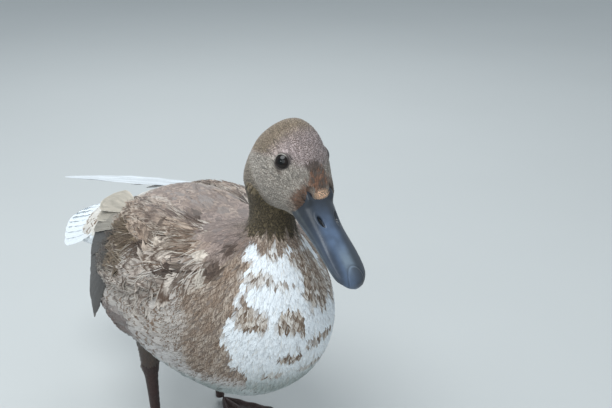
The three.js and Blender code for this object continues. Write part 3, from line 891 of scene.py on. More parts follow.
def head_markings(points, luck):
    """The same for feathers rooted on the head, from their place in the head's own frame."""
    c = tones()
    local = to_head(points)
    ahead, z = -local[..., 1], local[..., 2]
    side = np.abs(local[..., 0])
    near, own_side = np.stack([side, ahead, z], -1), np.stack([local[..., 0], ahead, z], -1)
    fine = lumps(points, 2.2, 7)
    broad = lumps(points, 9, 8)
    spot = lambda centre, reach, ragged=0.6: patch(near, centre, reach, ragged, 40, 2.5)
    crown = smooth((z - 3 + 0.9 * np.maximum(-ahead, 0) - 0.1 * np.maximum(ahead, 0)) / 7)
    behind = smooth((-ahead - 2) / 14)
    lore = rise(ahead, 19, 4) * rise(side, 6, 3) * smooth((z + 22) / 5) * fall(z, 8, 5)
    rust = np.clip(spot([0, 20, 4], [9, 8, 8]) + spot([0, 27, -2], [6, 5, 5], 0.3), 0, 1)
    rusty = mixed(mixed(c.rust, c.lore, 0.25) * 1.15, c.fleck * 0.7, rise(fine, 0.42, 0.3))
    ground = layered(
        mixed(c.cheek, c.crown, crown),
        (c.nape, 0.85 * crown * behind),
        (c.nape, 0.85 * smooth((-ahead - 24) / 6) * fall(side, 11, 5)),
        # rusty-dark feathers along the side of the bill, flecked
        (mixed(c.lore * 0.7, c.rust, 0.45 * fine), 0.9 * lore * (0.4 + 0.6 * rise(broad, 0.25, 0.3))),
        # rust patch over the bill, a pale tip down its middle, and a dark smudge to each side above it
        (rusty, 0.9 * rust),
        (c.tan * 1.3, 0.95 * spot([0, 29, -4], [6.5, 5, 4], 0.3)),
        (c.fleck * 0.75, 0.8 * patch(own_side, [-3.5, 13.4, 8.4], [6.5, 3.2, 3.2], 0.5, 41, 2.5)),
        (c.fleck * 0.8, 0.75 * spot([12.5, 27.5, -4.5], [3.2, 3, 2.6], 0.3)),
        (c.cream, 0.8 * spot([13.5, 27, -17], [2, 2.5, 2], 0.8)),
        # behind and under the eye
        (c.fleck, 0.5 * spot([20, 5, -2.5], [5, 3.5, 1.6], 0.3)),
        (mixed(c.neck, c.cheek, 0.4), smooth((-z - 28 - 0.3 * ahead) / 5)))
    ground = ground * (1.06 + 0.5 * (fine - 0.5) + 0.9 * (luck - 0.5) + 0.2 * (broad - 0.5))[..., None]
    figure = figured(0.8, 0.06 + 0.1 * fine * (0.5 + luck), 0.5)
    return ground, mixed(c.fleck, c.cheek, 0.2 * (1 - crown)), figure


def skin_markings(points):
    """The skin's colour: the coat's ground and mark mixed, made a little darker as down is under feathers and
    as painted shade between them.
    """
    luck = np.full(len(points), 0.5)
    ground, mark, figure = trunk_markings(points, luck)
    head_ground, head_mark, _ = head_markings(points, luck)
    head = (in_head(points, -3.5) & (to_head(points)[:, 2] > -40)).astype(float)
    own = mixed(ground, mark, np.clip(figure[:, 1] * 3, 0, 0.5))
    return mixed(own, mixed(head_ground, head_mark, 0.25), head) * 0.8


# ------------------------------------------------------------------ materials

class Value:
    """A node's output. Arithmetic on it adds the nodes that do it."""

    def __init__(self, tree, made, output=0):
        self.tree, self.made, self.output = tree, made, output

    def __getitem__(self, output):
        return Value(self.tree, self.made, output)

    def __add__(self, other):
        return self.tree.math("ADD", self, other)

    def __sub__(self, other):
        return self.tree.math("SUBTRACT", self, other)

    def __rsub__(self, other):
        return self.tree.math("SUBTRACT", other, self)

    def __mul__(self, other):
        return self.tree.math("MULTIPLY", self, other)

    def __pow__(self, other):
        return self.tree.math("POWER", self, other)

    def __abs__(self):
        return self.tree.math("ABSOLUTE", self)


class Tree:
    """A material as it is built."""

    def __init__(self, name):
        self.material = bpy.data.materials.new(name)
        self.material.use_nodes = True
        self.nodes, self.links = self.material.node_tree.nodes, self.material.node_tree.links
        self.nodes.clear()
        self.out = self.add("OutputMaterial")
        self.where = self.add("TexCoord")["Object"]

    def add(self, kind, inputs=None, **settings):
        """Adds a node, sets its properties, sets or links its inputs, and gives its first output."""
        made = self.nodes.new("ShaderNode" + kind)
        for key, value in settings.items():
            setattr(made, key, value)
        for key, value in (inputs or {}).items():
            if isinstance(value, Value):
                self.links.new(value.made.outputs[value.output], made.inputs[key])
            else:
                made.inputs[key].default_value = value
        return Value(self, made)

    def math(self, way, a, b=0.0, clamp=False):
        """One step of arithmetic, kept between 0 and 1 if clamp."""
        return self.add("Math", {0: a, 1: b}, operation=way, use_clamp=clamp)

    def mapped(self, a, factor, shift):
        """A number times a factor, plus a shift."""
        return self.add("Math", {0: a, 1: factor, 2: shift}, operation="MULTIPLY_ADD")

    def noise(self, scale, detail, where=None):
        """Noise from 0 to 1, in the piece's own space unless another place is given."""
        return self.add("TexNoise", {"Vector": where or self.where, "Scale": scale, "Detail": detail})

    def read(self, name):
        """A colour that each vertex carries."""
        return self.add("Attribute", attribute_name=name)

    def tinted(self, shade):
        """The ground colour made darker or lighter by a shade."""
        return self.scaled(self.read("Ground"), shade)

    def scaled(self, colour, shade):
        """A colour made darker or lighter by a shade."""
        return self.add("VectorMath", {0: colour, "Scale": shade}, operation="SCALE")

    def bump(self, height, strength, distance):
        """Fine relief of the surface."""
        return self.add("Bump", {"Height": height, "Strength": strength, "Distance": distance})

    def surface(self, colour, roughness, inputs=None):
        """Ends the material with its surface."""
        shader = self.add("BsdfPrincipled", {"Base Color": colour, "Roughness": roughness, **(inputs or {})})
        self.links.new(shader.made.outputs[0], self.out.made.inputs[0])
        return self.material


# Feather surfaces: barbs along the feather, roughness, contrast, share of the way out where the fringe
# begins, sharpness of the band, and streaks across.
PLUMAGE = {
    "Velvet feather": (3, 0.8, 0.4, 0.93, 12.0, 2.0),
    "Silky feather": (5, 0.78, 0.4, 0.93, 12.0, 2.0),
    "Soft breast feather": (6, 0.78, 0.25, 0.93, 9.0, 3.0),
    "Contour feather": (12, 0.74, 0.4, 0.93, 8.0, 4.0),
    "Shoulder feather": (10, 0.72, 0.55, 0.92, 6.0, 4.0),
    "Loose barb": (2, 0.8, 0.2, 0.9, 12.0, 6.0),
    "Flight feather": (60, 0.6, 0.5, 0.93, 12.0, 12.0),
    "Tail feather": (50, 0.65, 0.08, 0.9, 12.0, 6.0),
    "Tail covert": (9, 0.74, 0.2, 0.9, 12.0, 6.0),
}


def feather_material(name):
    """Feather keratin. The eye sees fine barbs slanting from the shaft to a soft fringe, a band of darker
    brown where the figure puts it, hair-fine streaks, and a dull, faintly silky surface. The barbs and
    streaks are coarser than real ones, so that they show."""
    barbs, roughness, contrast, fringe_from, sharp, hairs = PLUMAGE[name]
    tree = Tree(name)
    across = tree.add("SeparateXYZ", {0: tree.add("UVMap", uv_map="Vane")})
    along, off = across[1], abs(across - 0.5) * 2.0
    middle = tree.add("SeparateColor", {0: tree.read("Figure")})
    spread, pale = middle[1], middle[2]
    grain = tree.noise(520.0, 3.0)
    wander = tree.mapped(grain, 0.22, -0.11)
    # barbs: lines of equal (along - 0.35 * off), broken by the grain
    phase = (along - off * 0.35) * (barbs * 6.283) + grain * 9.0
    barb = tree.mapped(tree.math("SINE", phase), 0.5, 0.5)
    # hair-fine streaks down the feather, which differ from place to place
    place_z = tree.add("VectorMath", {0: tree.where, 1: (37.0, 53.0, 71.0)}, operation="DOT_PRODUCT")[1]
    comb = tree.add("CombineXYZ", {0: across * hairs, 1: along * 1.3, 2: place_z})
    streak = tree.mapped(tree.noise(1.0, 2.0, comb), 2.0 * contrast, 1.0 - contrast)
    # the band: its middle curves back at the edges, and its edges wander
    far = abs(along + wander - (middle - off**2.0 * 0.1))
    band = tree.math("MULTIPLY", spread + 0.0001 - far, sharp, True)
    rim = tree.math("MAXIMUM", off, along) + wander
    fringe = tree.math("MULTIPLY", rim - fringe_from, 10.0, True)
    share = band * (1.0 - fringe * pale)
    base = tree.add("Mix", {0: share, 6: tree.read("Ground"), 7: tree.read("Mark")}, data_type="RGBA")[2]
    shade = tree.mapped(barb, 0.5 * contrast, 1.0 - 0.25 * contrast) * streak
    return tree.surface(tree.scaled(base, shade), roughness, {
        "Normal": tree.bump(barb, 0.2, 0.0003), "Sheen Weight": 0.12, "Sheen Roughness": 0.5,
        "Specular IOR Level": 0.25})


def skin_material():
    """Down-covered skin. The eye sees only soft, dull shade between the feathers."""
    tree = Tree("Downy skin")
    down = tree.noise(900.0, 4.0)
    return tree.surface(tree.tinted(tree.mapped(down, 0.5, 0.75)), 0.85, {
        "Normal": tree.bump(down, 0.5, 0.0006), "Sheen Weight": 0.1, "Specular IOR Level": 0.2})


def horn_material(name, roughness, grain, coat_weight):
    """Beak horn: keratin, smooth and faintly waxy. The eye sees slate blue that clouds to near black where
    the vertex tint says, fine lengthwise grain and small pits."""
    tree = Tree(name)
    cloud = tree.noise(130.0, 5.0)
    rough = tree.add("MapRange", {0: cloud, 1: 0.3, 2: 0.7, 3: roughness - 0.06, 4: roughness + 0.1})
    return tree.surface(tree.tinted(tree.mapped(cloud, 1.1, 0.4)), rough, {
        "Normal": tree.bump(tree.noise(grain, 4.0), 0.25, 0.0002), "IOR": 1.54, "Coat Weight": coat_weight,
        "Coat Roughness": 0.3})


def scaly_material():
    """Leg skin: small leathery plates. The eye sees dull red-brown scales about 1.5 mm across with darker
    seams."""
    tree = Tree("Scaly leg skin")
    plates = tree.add("TexVoronoi", {"Vector": tree.where, "Scale": 620.0}, feature="DISTANCE_TO_EDGE")
    seam = tree.add("MapRange", {0: plates, 1: 0.0, 2: 0.16, 3: 0.0, 4: 1.0})
    return tree.surface(tree.tinted(tree.mapped(seam, 0.4, 0.6)), 0.5, {
        "Normal": tree.bump(seam, 0.6, 0.0004)})


def eye_material():
    """Cornea over a very dark iris: wet and mirror-smooth. The eye sees a black pupil, a brown-black ring and
    one sharp highlight."""
    tree = Tree("Wet cornea")
    return tree.surface(tree.tinted(tree.mapped(tree.noise(1500.0, 2.0), 0.6, 0.7)), 0.3, {
        "Specular IOR Level": 0.0, "Coat Weight": 1.0, "Coat Roughness": 0.02, "Coat IOR": 1.376})


def matte_material():
    """Studio floor: matte pale paint with a faint mottle."""
    tree = Tree("Matte pale paint")
    colour = tuple(bpy.context.scene.duck_colours.floor)
    return tree.surface(tree.scaled(colour, tree.mapped(tree.noise(3.0, 5.0), 0.06, 0.97)), 0.8)


# ------------------------------------------------------------------ operators

class DuckStage(bpy.types.Operator):
    """Camera, soft lights and a plain pale floor."""
    bl_idname = "duck.stage"
    bl_label = "Stage"

    def execute(self, context):
        scene = context.scene
        data = bpy.data.cameras.new("Camera")
        data.sensor_width = SENSOR
        data.lens = FOCAL_PIXELS / IMAGE_WIDTH * SENSOR
        data.clip_start, data.clip_end = 0.02, 20
        camera = bpy.data.objects.new("Camera", data)
        scene.collection.objects.link(camera)
        a, e = (math.radians(CAMERA_TURN[k]) for k in ("azimuth", "elevation"))
        back = np.array([math.sin(a) * math.cos(e), -math.cos(a) * math.cos(e), math.sin(e)])
        right = np.array([math.cos(a), math.sin(a), 0])
        turn = np.eye(4)
        turn[:3, :3] = np.stack([right, np.cross(back, right), back], 1)
        turn[:3, 3] = CAMERA_AT
        camera.matrix_world = Matrix(turn.tolist())
        scene.camera = camera

        scene.world = bpy.data.worlds.new("Soft sky")
        scene.world.use_nodes = True
        sky = scene.world.node_tree.nodes["Background"]
        sky.inputs[0].default_value = SKY["colour"]
        sky.inputs[1].default_value = SKY["strength"]
        scene.view_settings.view_transform = "Standard"
        for name, (at, size, power) in LAMPS.items():
            lamp = bpy.data.lights.new(name, "AREA")
            lamp.shape, lamp.size, lamp.energy = "DISK", size, power
            lamp.color = LAMP_COLOUR
            lit = bpy.data.objects.new(name, lamp)
            scene.collection.objects.link(lit)
            lit.location = at
            lit.rotation_euler = (Vector(at) - Vector(LAMP_AIM)).to_track_quat("Z", "Y").to_euler()

        rows = np.linspace(-FLOOR_REACH, FLOOR_REACH, 9)
        flat = np.stack(np.meshgrid(rows, rows, indexing="ij") + [np.zeros((9, 9))], -1)
        floor = make_mesh("floor", flat.reshape(-1, 3), grid_faces(9, 9, False)[:, ::-1])
        floor.data.materials.append(matte_material())
        return {"FINISHED"}


class DuckSkin(bpy.types.Operator):
    """One skin over trunk, neck, head, thighs and tail root: their forms, drawn in by the coat's depth, are
    merged on a fine grid and smoothed."""
    bl_idname = "duck.skin"
    bl_label = "Skin"

    def execute(self, context):
        def notched_head(t, a, lift):
            local = loft(HEAD, t, a)
            return head_at(t, a, lift - 2.2 * bill_shoulder(local) * (local[..., 2] > -14))

        def form(at, low, high, count, lift):
            return at(*rings(np.linspace(low, high, count), 96), lift)

        forms = [form(body_at, 0.12, len(BODY) - 1, 190, -SKIN_DEPTH),
                 form(notched_head, 0, len(HEAD) - 1, 90, -HEAD_SKIN_DEPTH),
                 form(tail_root_at, 0.1, len(TAIL_ROOT) - 1, 40, -2.5)]
        for side, _ in SIDES:
            forms.append(form(lambda t, a, lift: limb_at(HIP, HOCK, side, t, a, lift), 0, 1, 40, -2.5))
        parts, start = [], 0
        for points in forms:
            verts, quads, tris = capped(points)
            parts.append((verts, quads + start, tris + start))
            start += len(verts)
        made = make_mesh("skin", *(np.concatenate(k) for k in zip(*parts)))
        merge = made.modifiers.new("Merge", "REMESH")
        merge.mode, merge.voxel_size = "VOXEL", context.scene.duck_sizes.voxel
        ease = made.modifiers.new("Ease", "SMOOTH")
        ease.factor, ease.iterations = 0.5, 6
        apply_modifiers(made)
        made.data.polygons.foreach_set("use_smooth", np.ones(len(made.data.polygons), bool))
        set_colour(made, "Ground", skin_markings(points_of(made)))
        place(made, skin_material(), ["trunk", "neck", "head", "thigh_left", "thigh_right"])
        return {"FINISHED"}


class DuckEyes(bpy.types.Operator):
    """Eyeballs and the bare rims of the lids."""
    bl_idname = "duck.eyes"
    bl_label = "Eyes"

    def execute(self, context):
        c = tones()
        glass, rim_skin = eye_material(), horn_material("Bare lid skin", 0.5, 1800.0, 0.0)
        for side, word in SIDES:
            out, centre = EYE_FACES * [side, 1, 1], EYE_AT * [side, 1, 1]
            ahead = np.cross(np.cross(out, [0, -1, 0]), out)
            ahead /= np.linalg.norm(ahead)
            up = np.cross(out, ahead)
            up = up if up[2] > 0 else -up
            a, b = rings(np.linspace(0, np.pi, 41), 56)
            ring = np.cos(b)[..., None] * ahead + np.sin(b)[..., None] * up
            ball = centre + EYE_RADIUS * (np.cos(a)[..., None] * out + np.sin(a)[..., None] * ring)
            verts, quads, tris = capped(ball, flip=side < 0)
            away = np.degrees(np.arccos(np.clip((verts - centre) @ out / EYE_RADIUS, -1, 1)))
            tint = layered(np.full(3, PUPIL_TONE), (c.iris, rise(away, *PUPIL_RIM)),
                           (np.full(3, SOCKET_TONE), rise(away, *IRIS_RIM)))
            piece(f"eye_{word}_ball", (from_head(verts), quads, tris), tint, glass, [f"eye_{word}"])

            b, k = rings(np.linspace(0, TAU, 73)[:-1], 12)
            radial = (np.cos(b) * LID["wide"])[..., None] * ahead + (np.sin(b) * LID["tall"])[..., None] * up
            inner = np.linalg.norm(radial, axis=-1)
            far = (inner + LID["outer"]) / 2 - (LID["outer"] - inner) / 2 * np.cos(k)
            deep = np.sqrt(EYE_RADIUS**2 - far**2) + 0.1 + LID["thick"] * np.sin(k)
            tube = centre + far[..., None] * (radial / inner[..., None]) + deep[..., None] * out
            faces = grid_faces(72, 12, True, ring=True)[:, ::side]
            behind = smooth((-np.cos(b) + 0.3 * np.sin(b) - 0.1) / 0.7) * smooth((np.cos(k) - 0.2) / 0.5)
            outside = smooth((-np.cos(k) - 0.1) / 0.8)
            tint = mixed(mixed(c.fleck * 0.3, c.crown * 0.6, outside), c.cream * 0.7, behind).reshape(-1, 3)
            piece(f"lid_{word}", (from_head(tube.reshape(-1, 3)), faces), tint, rim_skin)
        return {"FINISHED"}


class DuckBill(bpy.types.Operator):
    """Upper and lower bill: the solids' lofts drawn finely, with nostrils pressed in, a raised nail at the
    tip, a groove above the cutting edge, a pale edge, and shoulders of horn that run up beside the
    forehead."""
    bl_idname = "duck.bill"
    bl_label = "Bill"

    def execute(self, context):
        c = tones()
        horn = horn_material("Beak horn", 0.34, 900.0, 0.35)
        grid_t, grid_turn = rings(np.linspace(0, len(UPPER_BILL) - 1, 181), 160)
        skin = loft(UPPER_BILL, grid_t, grid_turn)
        ahead, across = -skin[..., 1], np.abs(skin[..., 0])
        over = np.sin(grid_turn) > 0
        on_top = lambda share: np.where(over, share, 0)
        bump = lambda x, middle, reach: np.exp(-(((x - middle) / reach) ** 2))
        slant = (ahead - NOSTRIL["ahead"]) * 0.22
        near = ((ahead - NOSTRIL["ahead"]) / NOSTRIL["long"]) ** 2
        near = near + ((across - NOSTRIL["side"] + slant) / NOSTRIL["wide"]) ** 2
        nail_far = np.sqrt(((ahead - NAIL["ahead"]) / NAIL["long"]) ** 2 + (across / NAIL["wide"]) ** 2)
        low = np.degrees(np.minimum(grid_turn, np.abs(np.pi - grid_turn)))
        nostril, lip = on_top(fall(near, 1.3, 0.6)), on_top(bump(near, 2.2, 0.8))
        nail, crease = on_top(fall(nail_far, 1.05, 0.18)), on_top(bump(nail_far, 1.12, 0.07))
        groove = np.where(over & (ahead > 34), bump(low, 17, 6), 0) * fall(ahead, 88, 8)
        lift = -2.4 * nostril + 0.25 * lip + 0.4 * nail - 0.22 * crease - 0.15 * groove
        lift = lift + 2.4 * on_top(bill_shoulder(skin))
        verts, quads, tris = capped(loft(UPPER_BILL, grid_t, grid_turn, lift), flip=True)
        ahead, x = -verts[:, 1], verts[:, 0]
        pad = lambda a: np.concatenate([a.ravel(), a[0].mean()[None], a[-1].mean()[None]])
        colour = layered(
            c.bill * 0.92,
            (c.bill_dark, 0.9 * fall(ahead, 54, 22)),
            # a pale patch along the top near the tip: painted highlight
            (c.belly, 0.35 * (bump(ahead, 74, 9) * smooth((9.5 - np.abs(x - 1)) / 5))),
            (c.bill_dark, 0.75 * smooth((np.abs(x) - 6.5) / 5)),
            # the bird's left half of the bill darkened: painted shade
            (c.bill_dark, 0.85 * smooth(x / 6)),
            # the nail's own dark horn, left lighter on the bird's right as painted light
            (c.bill_dark, 0.7 * pad(nail) * smooth((x + 5) / 6)),
            # darker crease round the nail: painted shade
            (c.bill_dark * 0.6, 0.4 * pad(crease)),
            # near-black inside the nostril: painted shade
            (c.bill_dark * 0.15, pad(nostril)),
            (c.belly, 0.12 * bump(pad(low), 6, 3.5) * fall(ahead, 84, 8)))
        piece("bill_upper_horn", (from_head(verts), quads, tris), colour, horn, ["bill_upper"])

        points = loft(LOWER_BILL, *rings(np.linspace(0, len(LOWER_BILL) - 1, 121), 160))
        verts, quads, tris = capped(points, flip=True)
        edge = smooth((np.abs(verts[:, 0]) - 9.5) / 2)
        colour = mixed(mixed(c.bill, c.bill_dark, 0.6), c.belly, 0.3 * edge)
        piece("bill_lower_horn", (from_head(verts), quads, tris), colour, horn, ["bill_lower"])
        return {"FINISHED"}


class DuckLegs(bpy.types.Operator):
    """Shanks, webbed feet and claws."""
    bl_idname = "duck.legs"
    bl_label = "Legs"

    def execute(self, context):
        c = tones()
        scaly, horn = scaly_material(), horn_material("Claw horn", 0.35, 1200.0, 0.2)
        for side, word in SIDES:
            t, turn = rings(np.linspace(0, 1, 60), 32)
            ripple = 0.28 * np.abs(np.sin(t * 34)) * smooth(-np.sin(turn) * 2)
            knee = 1.1 * np.exp(-(((t - 0.93) / 0.09) ** 2))
            mesh = capped(limb_at(HOCK, ANKLE, side, t, turn, ripple + knee - 0.4))
            tint = mixed(np.broadcast_to(c.leg, mesh[0].shape), c.web, lumps(mesh[0], 5, 9))
            piece(f"shank_{word}_skin", mesh, tint, scaly, [f"shank_{word}"])
            verts, quads = self.foot(side)
            ridge = smooth((verts[:, 2] - WEB_THICK) / 1.5)
            tint = mixed(mixed(c.web, c.leg, ridge), c.web * 0.7, 0.5 * lumps(verts, 4, 5))
            piece(f"foot_{word}_skin", (verts, quads), tint, scaly, [f"foot_{word}"])
            for toe in ("inner", "middle", "outer", "hind"):
                mesh = self.claw(side, *(HIND_TOE if toe == "hind" else TOES[toe])[:2])
                tint = np.broadcast_to(c.claw, mesh[0].shape)
                name = f"claw_{toe}_{word}"
                piece(f"{name}_horn", mesh, tint, horn, [name])
        return {"FINISHED"}

    def foot(self, side):
        """The webbed foot as one surface in polar form. The edge runs from toe to toe and dips between
        them; the height is the web's thickness plus a round ridge over each toe, with knuckles; below it is
        flat."""
        first, last = WEB_EDGE[0][0], WEB_EDGE[0][-1]
        angle = np.linspace(first, last, 97)[:, None]
        far = np.linspace(0, 1, 61)[None]
        reach = np.zeros_like(angle)
        for direction, length, _ in TOES.values():
            reach = np.maximum(reach, (length + 1.5) * np.exp(-(((angle - direction) / 6.5) ** 2)))
        reach = np.maximum(reach, np.interp(angle, *WEB_EDGE))
        radius = far * reach
        rad = np.radians(angle)
        x = side * ANKLE["side"] + side * np.sin(rad) * radius
        y = ANKLE["back"] - 3 + STAND_Y - np.cos(rad) * radius
        height = np.full(radius.shape, WEB_THICK)
        for direction, length, half in TOES.values():
            aside = radius * np.radians(angle - direction)
            share = radius / length
            round_toe = np.exp(-((aside / (half * (1.15 - 0.3 * share))) ** 2) * 1.3)
            knuckle = 0.5 * np.cos(share * TAU * 3) * smooth((share - 0.15) * 4)
            height = np.maximum(height, WEB_THICK + (4.6 - 2.4 * share + knuckle) * round_toe)
        edge = smooth((1 - far) * reach / 1.6)
        beside = np.minimum(angle - first, last - angle) * np.radians(1) * radius
        edge = edge * smooth((beside + 0.6) / 1.6)
        top = np.stack([x, y, np.maximum(height * edge, 0.5)], -1)
        base = np.stack([x, y, 0 * x], -1)
        rows, cols = top.shape[:2]
        count = rows * cols
        upper = grid_faces(rows, cols, False)
        verts = np.concatenate([top.reshape(-1, 3), base.reshape(-1, 3)])
        index = np.arange(count).reshape(rows, cols)
        rim = np.concatenate([index[0], index[1:, -1], index[-1, -2::-1], index[-2:0:-1, 0]])
        after = np.roll(rim, -1)
        wall = np.stack([rim, rim + count, after + count, after], -1)
        return verts, np.concatenate([upper, upper[:, ::-1] + count, wall])[:, ::-side]

    def claw(self, side, direction, length):
        """A claw: a cone whose axis bends down from the toe's end."""
        rad = np.radians(direction)
        ahead = np.array([side * np.sin(rad), -np.cos(rad), 0])
        start = np.array([side * ANKLE["side"], ANKLE["back"] - 3 + STAND_Y, 0.0])
        s, turn = rings(np.linspace(0, 1, 15), 16)
        across = np.array([-ahead[1], ahead[0], 0])
        size = CLAW["radius"] * (1 - s) ** 0.7 + 0.12
        spine = start + ahead * (length - 1.5 + s * CLAW["length"] * 0.9)[..., None]
        spine = spine + np.stack([0 * s, 0 * s, 2.6 + 0.9 * np.sin(s * 2.2) - 2.3 * s**2], -1)
        ring = np.cos(turn)[..., None] * across + np.sin(turn)[..., None] * [0, 0, 1]
        verts, quads, tris = capped(spine + size[..., None] * ring, flip=True)
        verts[:, 2] = np.maximum(verts[:, 2], 0.05)
        return verts, quads, tris


# ------------------------------------------------------------------ the coat

def eye_gap(points):
    """How far points of the head's surface are from the rim of the nearer eye, in millimetres, and how far
    ahead."""
    local = to_head(points)
    offset = np.stack([np.abs(local[..., 0]), local[..., 1], local[..., 2]], -1) - EYE_AT
    far = np.maximum((offset**2).sum(-1) - (EYE_RADIUS**2 - LID["wide"] ** 2), 0)
    return np.sqrt(far) - LID["wide"], -offset[..., 1]


def in_neck(points):
    """True for points well inside the neck's tube under the head."""
    local = points - np.array([0, -107 + STAND_Y, 0])
    return (np.hypot(local[..., 0] / 14, local[..., 1] / 15) < 1) & (points[..., 2] < 262)


def winged(points, t, turn):
    """True where the loose feathers of the wing and shoulder grow, which have an operator of their own."""
    side = side_angle(turn)
    return (t > WING["from"]) & (t < WING["to"] + 0.75) & (side > WING["low"] - 3) & (side < WING["high"] + 6)


class Roots:
    """Where the feathers of a coat are rooted on a surface, and the random draws that set them apart."""

    def __init__(self, rng, at, *where):
        self.rng, self.at = rng, at
        self.t, self.turn = scattered(at, *where)
        self.points = at(self.t, self.turn)

    def even(self, low, high):
        """A number from low to high for each feather."""
        return self.rng.uniform(low, high, len(self.t))

    def about(self, reach):
        """A number within that reach of 0 for each feather."""
        return self.even(-reach, reach)

    def normal(self, spread):
        """A normally spread number around 0 for each feather."""
        return self.rng.normal(0, spread, len(self.t))

    def shown(self, length, swing, share=0.87):
        """Where on the surface the part of each feather that shows lies."""
        return far_end(self.at, self.t, self.turn, length, swing, share)[2]

    def dress(self, name, material, look, grid=(5, 5), taper=0.55, marked=None):
        """A coat whose feathers take the trunk's markings where they show, unless marked gives others."""
        luck = self.even(0, 1)
        shared = dict(low=-SKIN_DEPTH + 0.4, high=0.15 + 0.25 * luck, curl=0.0, cup=0.55, fray=0.1, thick=0.2,
                      roll=self.about(0.12), bend=self.about(0.6), swing=0.0)
        shared.update(look)
        if marked is None:
            marked = trunk_markings(self.shown(shared["length"], shared["swing"]), luck)
        shared.update(zip(("ground", "mark", "figure"), marked))
        made = coat(name, self.at, self.t, self.turn, shared, self.rng, grid=grid, taper=taper)
        place(made, material)


class DuckHeadCoat(bpy.types.Operator):
    """Small pointed feathers of face, crown, cheek and throat."""
    bl_idname = "duck.head_coat"
    bl_label = "Head feathers"

    def execute(self, context):
        rng = np.random.default_rng(11)
        pitch = context.scene.duck_sizes.head_pitch / MM

        def keep(points, t, turn):
            local = to_head(points)
            bare = (bill_shoulder(local) > 0.45) & (local[..., 2] > -12)
            return (eye_gap(points)[0] > 0.35) & ~in_neck(points) & ~bare

        def spacing(points, t, turn):
            return pitch * np.interp(-to_head(points)[..., 1], [-20, 5, 25], [1.15, 1.0, 0.85])

        roots = Roots(rng, head_at, (0.1, len(HEAD) - 1.02), (0, TAU), spacing, keep, 1)
        luck = roots.even(0, 1)
        local = to_head(roots.points)
        ahead = -local[:, 1]
        length = np.interp(ahead, [-34, -10, 12, 30], [6.0, 5.0, 4.0, 2.6]) * roots.even(0.85, 1.15)
        gap, before = eye_gap(roots.points)
        length = np.where((before > -1) & (gap < 6), np.minimum(length, np.maximum(gap * 1.1, 1.1)), length)
        low_side = smooth((-local[:, 2] - 4) / 18)
        swing = 6 + 28 * low_side * fall(ahead, 14, 26) + roots.normal(6)
        swing = swing * smooth(np.abs(np.cos(roots.turn)) / 0.35)
        ground, mark, figure = head_markings(roots.shown(length, swing), luck)
        look = dict(length=length, width=np.maximum(length * 0.36, 0.8), swing=swing,
                    low=-HEAD_SKIN_DEPTH + 0.15, high=0.1 + 0.2 * luck, curl=0.0, cup=0.3, fray=0.05,
                    thick=0.16, roll=roots.about(0.08), bend=roots.about(0.2),
                    ground=ground, mark=mark, figure=figure)
        made = coat("head_feathers", head_at, roots.t, roots.turn, look, rng, (4, 3), taper=0.3, soft=0.35)
        place(made, feather_material("Velvet feather"))
        return {"FINISHED"}


class DuckNeckCoat(bpy.types.Operator):
    """Short soft feathers of the neck."""
    bl_idname = "duck.neck_coat"
    bl_label = "Neck feathers"

    def execute(self, context):
        pitch = context.scene.duck_sizes.neck_pitch / MM
        keep = lambda points, t, turn: ~in_head(points, 2.0)
        spans = (NECK_ROW, len(BODY) - 1.3)
        roots = Roots(np.random.default_rng(12), body_at, spans, (0, TAU), pitch, keep, 2)
        look = dict(length=roots.even(6.5, 9.5), width=2.3, swing=roots.normal(8),
                    high=0.05 + 0.3 * roots.even(0, 1), cup=0.4, fray=0.1, thick=0.18)
        roots.dress("neck_feathers", feather_material("Silky feather"), look, grid=(5, 3), taper=0.25)
        return {"FINISHED"}


